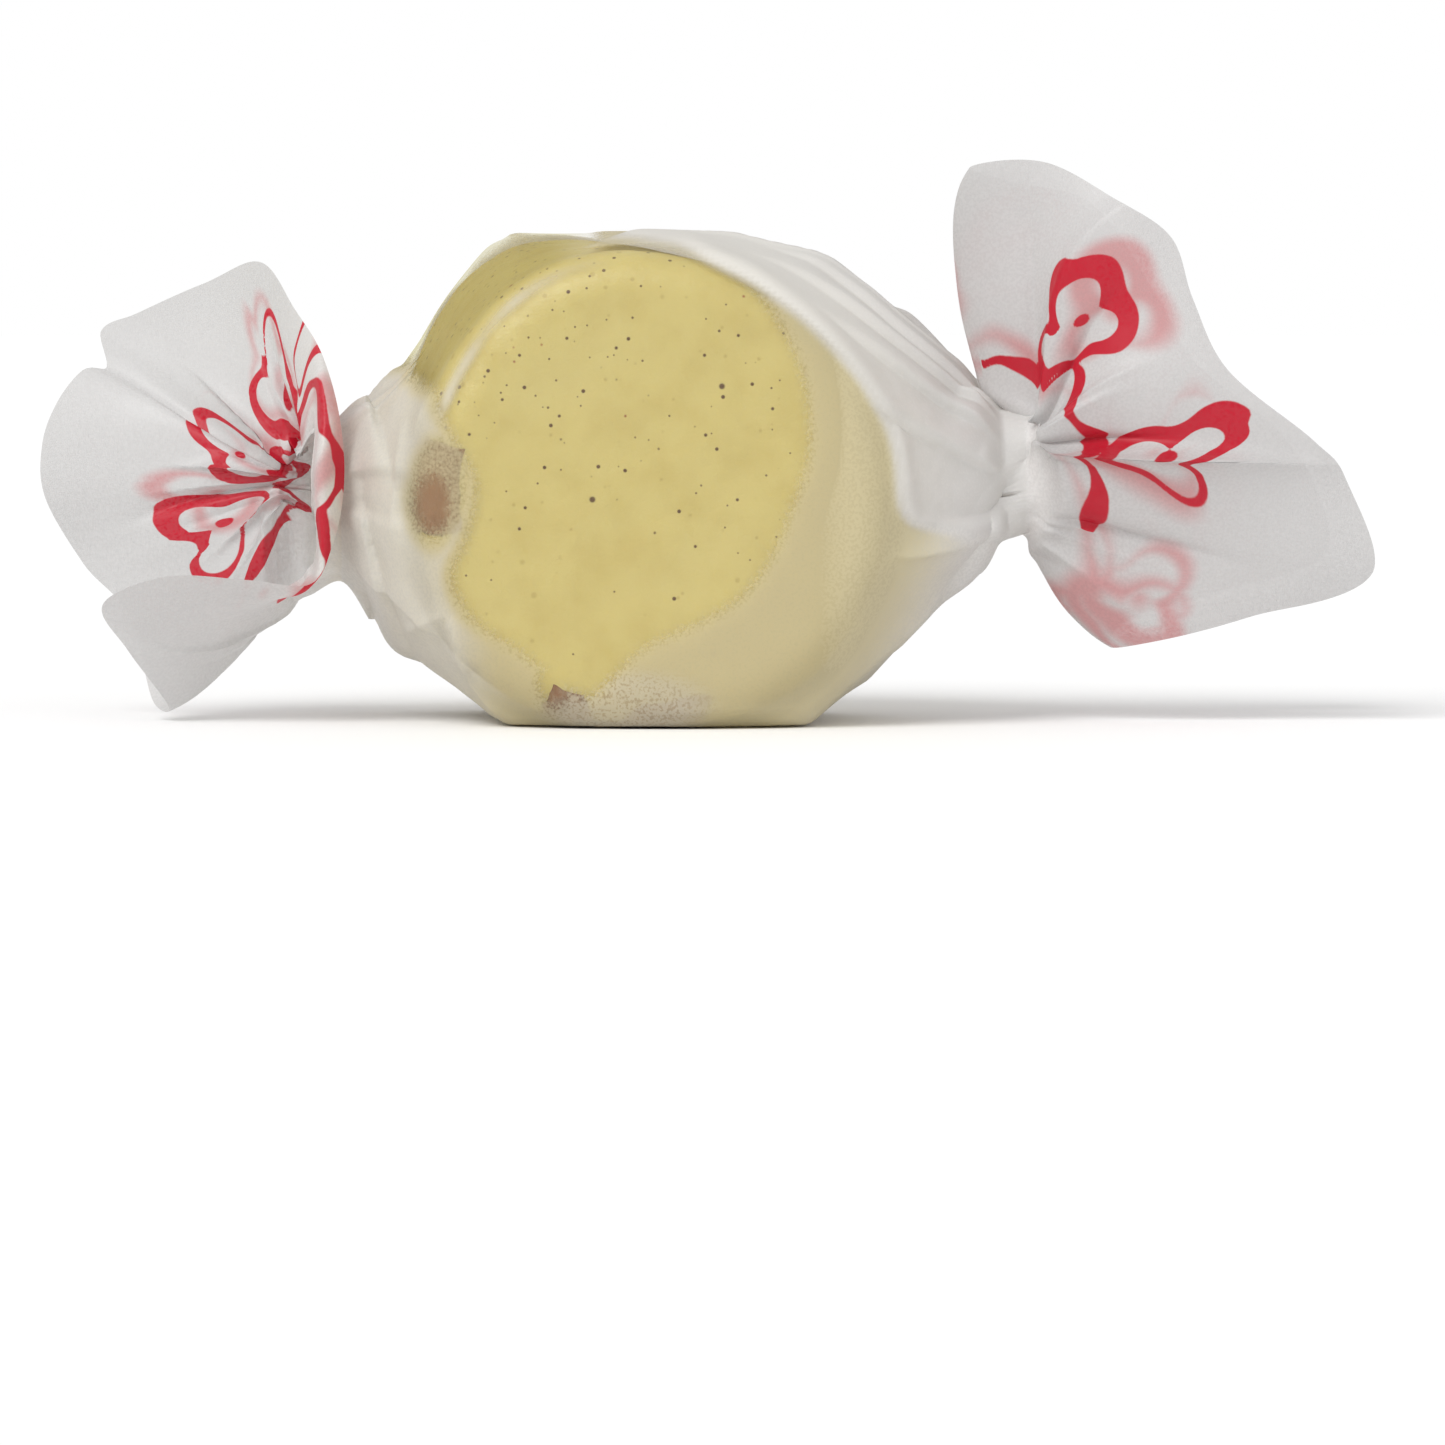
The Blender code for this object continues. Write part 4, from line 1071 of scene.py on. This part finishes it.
class Look:
    """A material in the making, with a short method for each kind of node."""

    def __init__(self, name):
        self.material = bpy.data.materials.new(name)
        self.material.use_nodes = True
        self.nodes = self.material.node_tree.nodes
        self.links = self.material.node_tree.links
        self.nodes.clear()
        self.coords = self.nodes.new("ShaderNodeTexCoord").outputs["Object"]

    def put(self, socket, given):
        """Gives a socket a number or a colour, or links it to another node's output."""
        if isinstance(given, bpy.types.NodeSocket):
            self.links.new(given, socket)
        elif socket.type == "RGBA":
            socket.default_value = (*given, 1.0)
        else:
            socket.default_value = given

    def add(self, kind, **given):
        """A shader node with the named sockets filled."""
        node = self.nodes.new(kind)
        for key, value in given.items():
            self.put(node.inputs[key.replace("_", " ")], value)
        return node

    def attribute(self, name):
        node = self.nodes.new("ShaderNodeAttribute")
        node.attribute_name = name
        return node.outputs["Fac"]

    def height(self):
        return self.add("ShaderNodeSeparateXYZ", Vector=self.coords).outputs["Z"]

    def noise(self, scale, detail=3.0, rough=0.5):
        given = {"Vector": self.coords, "Scale": scale, "Detail": detail, "Roughness": rough}
        return self.add("ShaderNodeTexNoise", **given).outputs["Fac"]

    def ramp(self, value, low, high, to_low=0.0, to_high=1.0):
        """A smooth ramp of a value, from to_low at low to to_high at high."""
        node = self.nodes.new("ShaderNodeMapRange")
        node.interpolation_type = "SMOOTHSTEP"
        filled = {"Value": value, "From Min": low, "From Max": high, "To Min": to_low, "To Max": to_high}
        for key, given in filled.items():
            self.put(node.inputs[key], given)
        return node.outputs["Result"]

    def math(self, operation, first, second):
        node = self.nodes.new("ShaderNodeMath")
        node.operation = operation
        self.put(node.inputs[0], first)
        self.put(node.inputs[1], second)
        return node.outputs[0]

    def times(self, first, second):
        return self.math("MULTIPLY", first, second)

    def at_least(self, first, second):
        return self.math("MAXIMUM", first, second)

    def around_zero(self, noise, strength):
        """Noise of 0 to 1 made a small shift to either side."""
        return self.times(self.math("SUBTRACT", noise, 0.5), strength)

    def mix(self, share, first, second):
        """One colour, or the other where the share is 1."""
        node = self.nodes.new("ShaderNodeMix")
        node.data_type = "RGBA"
        self.put(node.inputs["Factor"], share)
        colours = [socket for socket in node.inputs if socket.type == "RGBA"]
        self.put(colours[0], first)
        self.put(colours[1], second)
        return next(socket for socket in node.outputs if socket.type == "RGBA")

    def blend(self, share, first, second):
        """One shader, or the other where the share is 1."""
        node = self.nodes.new("ShaderNodeMixShader")
        self.put(node.inputs[0], share)
        self.put(node.inputs[1], first)
        self.put(node.inputs[2], second)
        return node.outputs["Shader"]

    def specks(self, scale, chance, size):
        """Small scattered spots: a few of the cells of a cell pattern, each with a round spot."""
        cells = self.add("ShaderNodeTexVoronoi", Vector=self.coords, Scale=scale)
        picked = self.add("ShaderNodeSeparateColor", Color=cells.outputs["Color"])
        chosen = self.math("LESS_THAN", picked.outputs["Red"], chance)
        grown = self.ramp(picked.outputs["Green"], 0.0, 1.0, 0.45 * size, size)
        edge = self.math("SUBTRACT", grown, cells.outputs["Distance"])
        return self.times(chosen, self.ramp(edge, -0.02, 0.05))

    def bump(self, height, distance, strength):
        made = self.add("ShaderNodeBump", Height=height, Distance=distance, Strength=strength)
        return made.outputs["Normal"]

    def finish(self, shader):
        out = self.nodes.new("ShaderNodeOutputMaterial")
        self.links.new(shader, out.inputs["Surface"])
        return self.material


def candy_shader(look, base, rough, glow, bump):
    """A waxy sweet's surface: light sinks in by different depths for red, green and blue."""
    share, depths, scale = glow
    shader = look.add(
        "ShaderNodeBsdfPrincipled",
        Base_Color=base,
        Roughness=rough,
        Subsurface_Weight=share,
        Subsurface_Radius=depths,
        Subsurface_Scale=scale,
        Normal=bump,
    )
    return shader.outputs["BSDF"]


def cream_look():
    look = Look("pulled_cream")
    base = look.mix(look.ramp(look.noise(420.0, 4.0, 0.55), 0.38, 0.72), CREAM, CREAM_DEEP)
    blotch = look.ramp(look.noise(110.0, 2.0), 0.52, 0.75, 0.0, 0.5)
    base = look.mix(blotch, base, CREAM_PALE)
    upper = look.ramp(look.height(), *SPECKS_RISE, *SPECKS_CHANCE)
    kinds = (  # cells per metre, the chance that a cell has a speck, its size, strength and colour
        (1050.0, upper, 0.13, 1.0, SPECK),
        (620.0, look.times(upper, 0.3), 0.11, 1.0, SPECK),
        (700.0, 0.22, 0.12, 1.0, SPECK_RED),
        (1500.0, upper, 0.18, 0.85, SPECK),
        (900.0, 0.9, 0.20, 0.4, SPECK_FAINT),
    )
    for scale, chance, size, strength, colour in kinds:
        base = look.mix(look.times(look.specks(scale, chance, size), strength), base, colour)
    bump = look.bump(look.noise(1500.0, 4.0, 0.6), 0.12 * MM, 0.5)
    return look.finish(candy_shader(look, base, 0.42, CREAM_GLOW, bump))


def caramel_look():
    look = Look("caramel")
    streaks = look.noise(260.0, 4.0, 0.5)
    base = look.mix(look.ramp(streaks, 0.35, 0.68), CARAMEL, CARAMEL_PALE)
    bump = look.bump(look.noise(900.0), 0.1 * MM, 0.4)
    return look.finish(candy_shader(look, base, 0.3, CARAMEL_GLOW, bump))


def paper_opacity(look, grain, inked):
    """How much the paper hides: little where it clings, nearly all where layers or ink lie."""
    haze = look.ramp(look.attribute("stand"), 0.35, 1.2, 0.72, 0.96)
    haze = look.math("ADD", haze, look.ramp(grain, 0.35, 0.65, -0.05, 0.04))
    edge = look.math("ADD", look.attribute("cling"), look.around_zero(grain, CLING_GRAIN))
    clear = look.ramp(edge, -0.90, 0.55)
    opacity = look.times(haze, look.ramp(clear, 0.0, 1.0, 1.0, 0.0))
    opacity = look.math("ADD", opacity, look.times(clear, CLEAR_OPACITY))
    opacity = look.at_least(opacity, look.times(look.attribute("double"), LAYER_OPACITY))
    opacity = look.at_least(opacity, look.attribute("veil"))
    opacity = look.at_least(opacity, look.times(look.attribute("shine"), SHINE_OPACITY))
    return look.at_least(opacity, look.times(inked, LAYER_OPACITY))


def paper_tint(look, fibre, grain, inked):
    """The paper's colour: a painted glow of the candy near it, white where many layers lie and where painted
    highlights fall, red where printed.
    """
    stand = look.attribute("stand")
    frost = look.attribute("frost")
    tint = look.mix(look.ramp(fibre, 0.3, 0.7), PAPER, PAPER_FIBRE)
    tint = look.mix(look.ramp(stand, 3.5, 9.0), tint, PAPER_FAR)
    tint = look.mix(look.attribute("packed"), tint, PAPER_PACKED_HIGHLIGHT)
    candy_glow = look.ramp(stand, 0.3, 5.5, 1.0, 0.0)
    for cooler, least in ((look.attribute("double"), 0.12), (look.attribute("shine"), 0.1), (frost, 0.62)):
        candy_glow = look.times(candy_glow, look.ramp(cooler, 0.0, 1.0, 1.0, least))
    tint = look.mix(candy_glow, tint, GLOW)
    tint = look.mix(look.times(frost, look.ramp(grain, 0.46, 0.66, 0.05, 0.50)), tint, STIPPLE)
    tint = look.mix(look.times(candy_glow, look.ramp(grain, 0.42, 0.62, 0.0, 0.22)), tint, GLOW_DEEP)
    blushing = look.ramp(look.attribute("blush"), -0.8, 0.5)
    tint = look.mix(look.times(blushing, BLUSH_STRENGTH), tint, BLUSH)
    return look.mix(inked, tint, INK)


def paper_look():
    """Wax paper: clear where it clings, hazy where it stands off, with red ink on the ends."""
    look = Look("wax_paper")
    fibre = look.noise(1400.0, 3.0, 0.6)
    grain = look.noise(6500.0, 2.0, 0.5)
    inked = look.ramp(look.math("ADD", look.attribute("ink"), look.around_zero(fibre, 0.08)), -0.05, 0.05)
    tint = paper_tint(look, fibre, grain, inked)
    bump = look.bump(fibre, 0.05 * MM, 0.18)
    face = look.add("ShaderNodeBsdfPrincipled", Base_Color=tint, Roughness=0.38, Normal=bump)
    face.inputs["Specular IOR Level"].default_value = 0.35
    through = look.add("ShaderNodeBsdfTranslucent", Color=tint, Normal=bump)
    lit_through = look.ramp(look.attribute("stand"), 2.0, 7.0, 0.20, 0.34)
    body = look.blend(lit_through, face.outputs["BSDF"], through.outputs["BSDF"])
    # the clear paper's colour, with painted shade over the candy's upper left side
    clear_and_side_shade = look.mix(look.attribute("side"), CLEAR_TONE, SIDE_SHADE_TONE)
    clear = look.add("ShaderNodeBsdfTransparent", Color=clear_and_side_shade)
    return look.finish(look.blend(paper_opacity(look, grain, inked), clear.outputs["BSDF"], body))


def add_floor():
    look = Look("studio_floor")
    shader = look.add("ShaderNodeBsdfDiffuse", Color=FLOOR)
    bpy.ops.mesh.primitive_plane_add(size=FLOOR_SIZE, location=(0, 0, 0))
    floor = bpy.context.object
    floor.name = "studio_floor"
    floor.data.materials.append(look.finish(shader.outputs["BSDF"]))


def add_sun(name, direction, strength, softness):
    data = bpy.data.lights.new(name, "SUN")
    data.energy = strength
    data.angle = math.radians(softness)
    lamp = bpy.data.objects.new(name, data)
    lamp.rotation_euler = Vector(direction).to_track_quat("-Z", "Y").to_euler()
    bpy.context.scene.collection.objects.link(lamp)


def add_lights():
    """A white room that lights softly and is full white where it is seen, and two soft suns."""
    world = bpy.data.worlds.new("studio")
    world.use_nodes = True
    nodes, links = world.node_tree.nodes, world.node_tree.links
    soft = nodes["Background"]
    seen = nodes.new("ShaderNodeBackground")
    for shade, strength in ((soft, ROOM_LIGHT), (seen, 1.0)):
        shade.inputs["Color"].default_value = (1.0, 1.0, 1.0, 1.0)
        shade.inputs["Strength"].default_value = strength
    mix = nodes.new("ShaderNodeMixShader")
    links.new(nodes.new("ShaderNodeLightPath").outputs["Is Camera Ray"], mix.inputs["Fac"])
    links.new(soft.outputs["Background"], mix.inputs[1])
    links.new(seen.outputs["Background"], mix.inputs[2])
    links.new(mix.outputs["Shader"], nodes["World Output"].inputs["Surface"])
    bpy.context.scene.world = world
    for name, (direction, strength, softness) in SUNS.items():
        add_sun(name, direction, strength, softness)


def add_camera():
    data = bpy.data.cameras.new("photo_camera")
    data.angle = 2 * math.atan(VIEW_WIDTH / 2 / VIEW_DISTANCE)
    data.clip_start = 0.01
    camera = bpy.data.objects.new("photo_camera", data)
    away = Vector((0, -math.cos(VIEW_ELEVATION), math.sin(VIEW_ELEVATION)))
    camera.location = Vector(VIEW_TARGET) + away * VIEW_DISTANCE
    camera.rotation_euler = (math.pi / 2 - VIEW_ELEVATION, 0, 0)
    bpy.context.scene.collection.objects.link(camera)
    bpy.context.scene.camera = camera


def main():
    add_paper()
    add_cream()
    for side in STRIPES:
        add_caramel(side)
    add_floor()
    add_lights()
    add_camera()
    bpy.context.scene.view_settings.view_transform = "Standard"
    bpy.context.scene.cycles.transparent_max_bounces = 24


main()
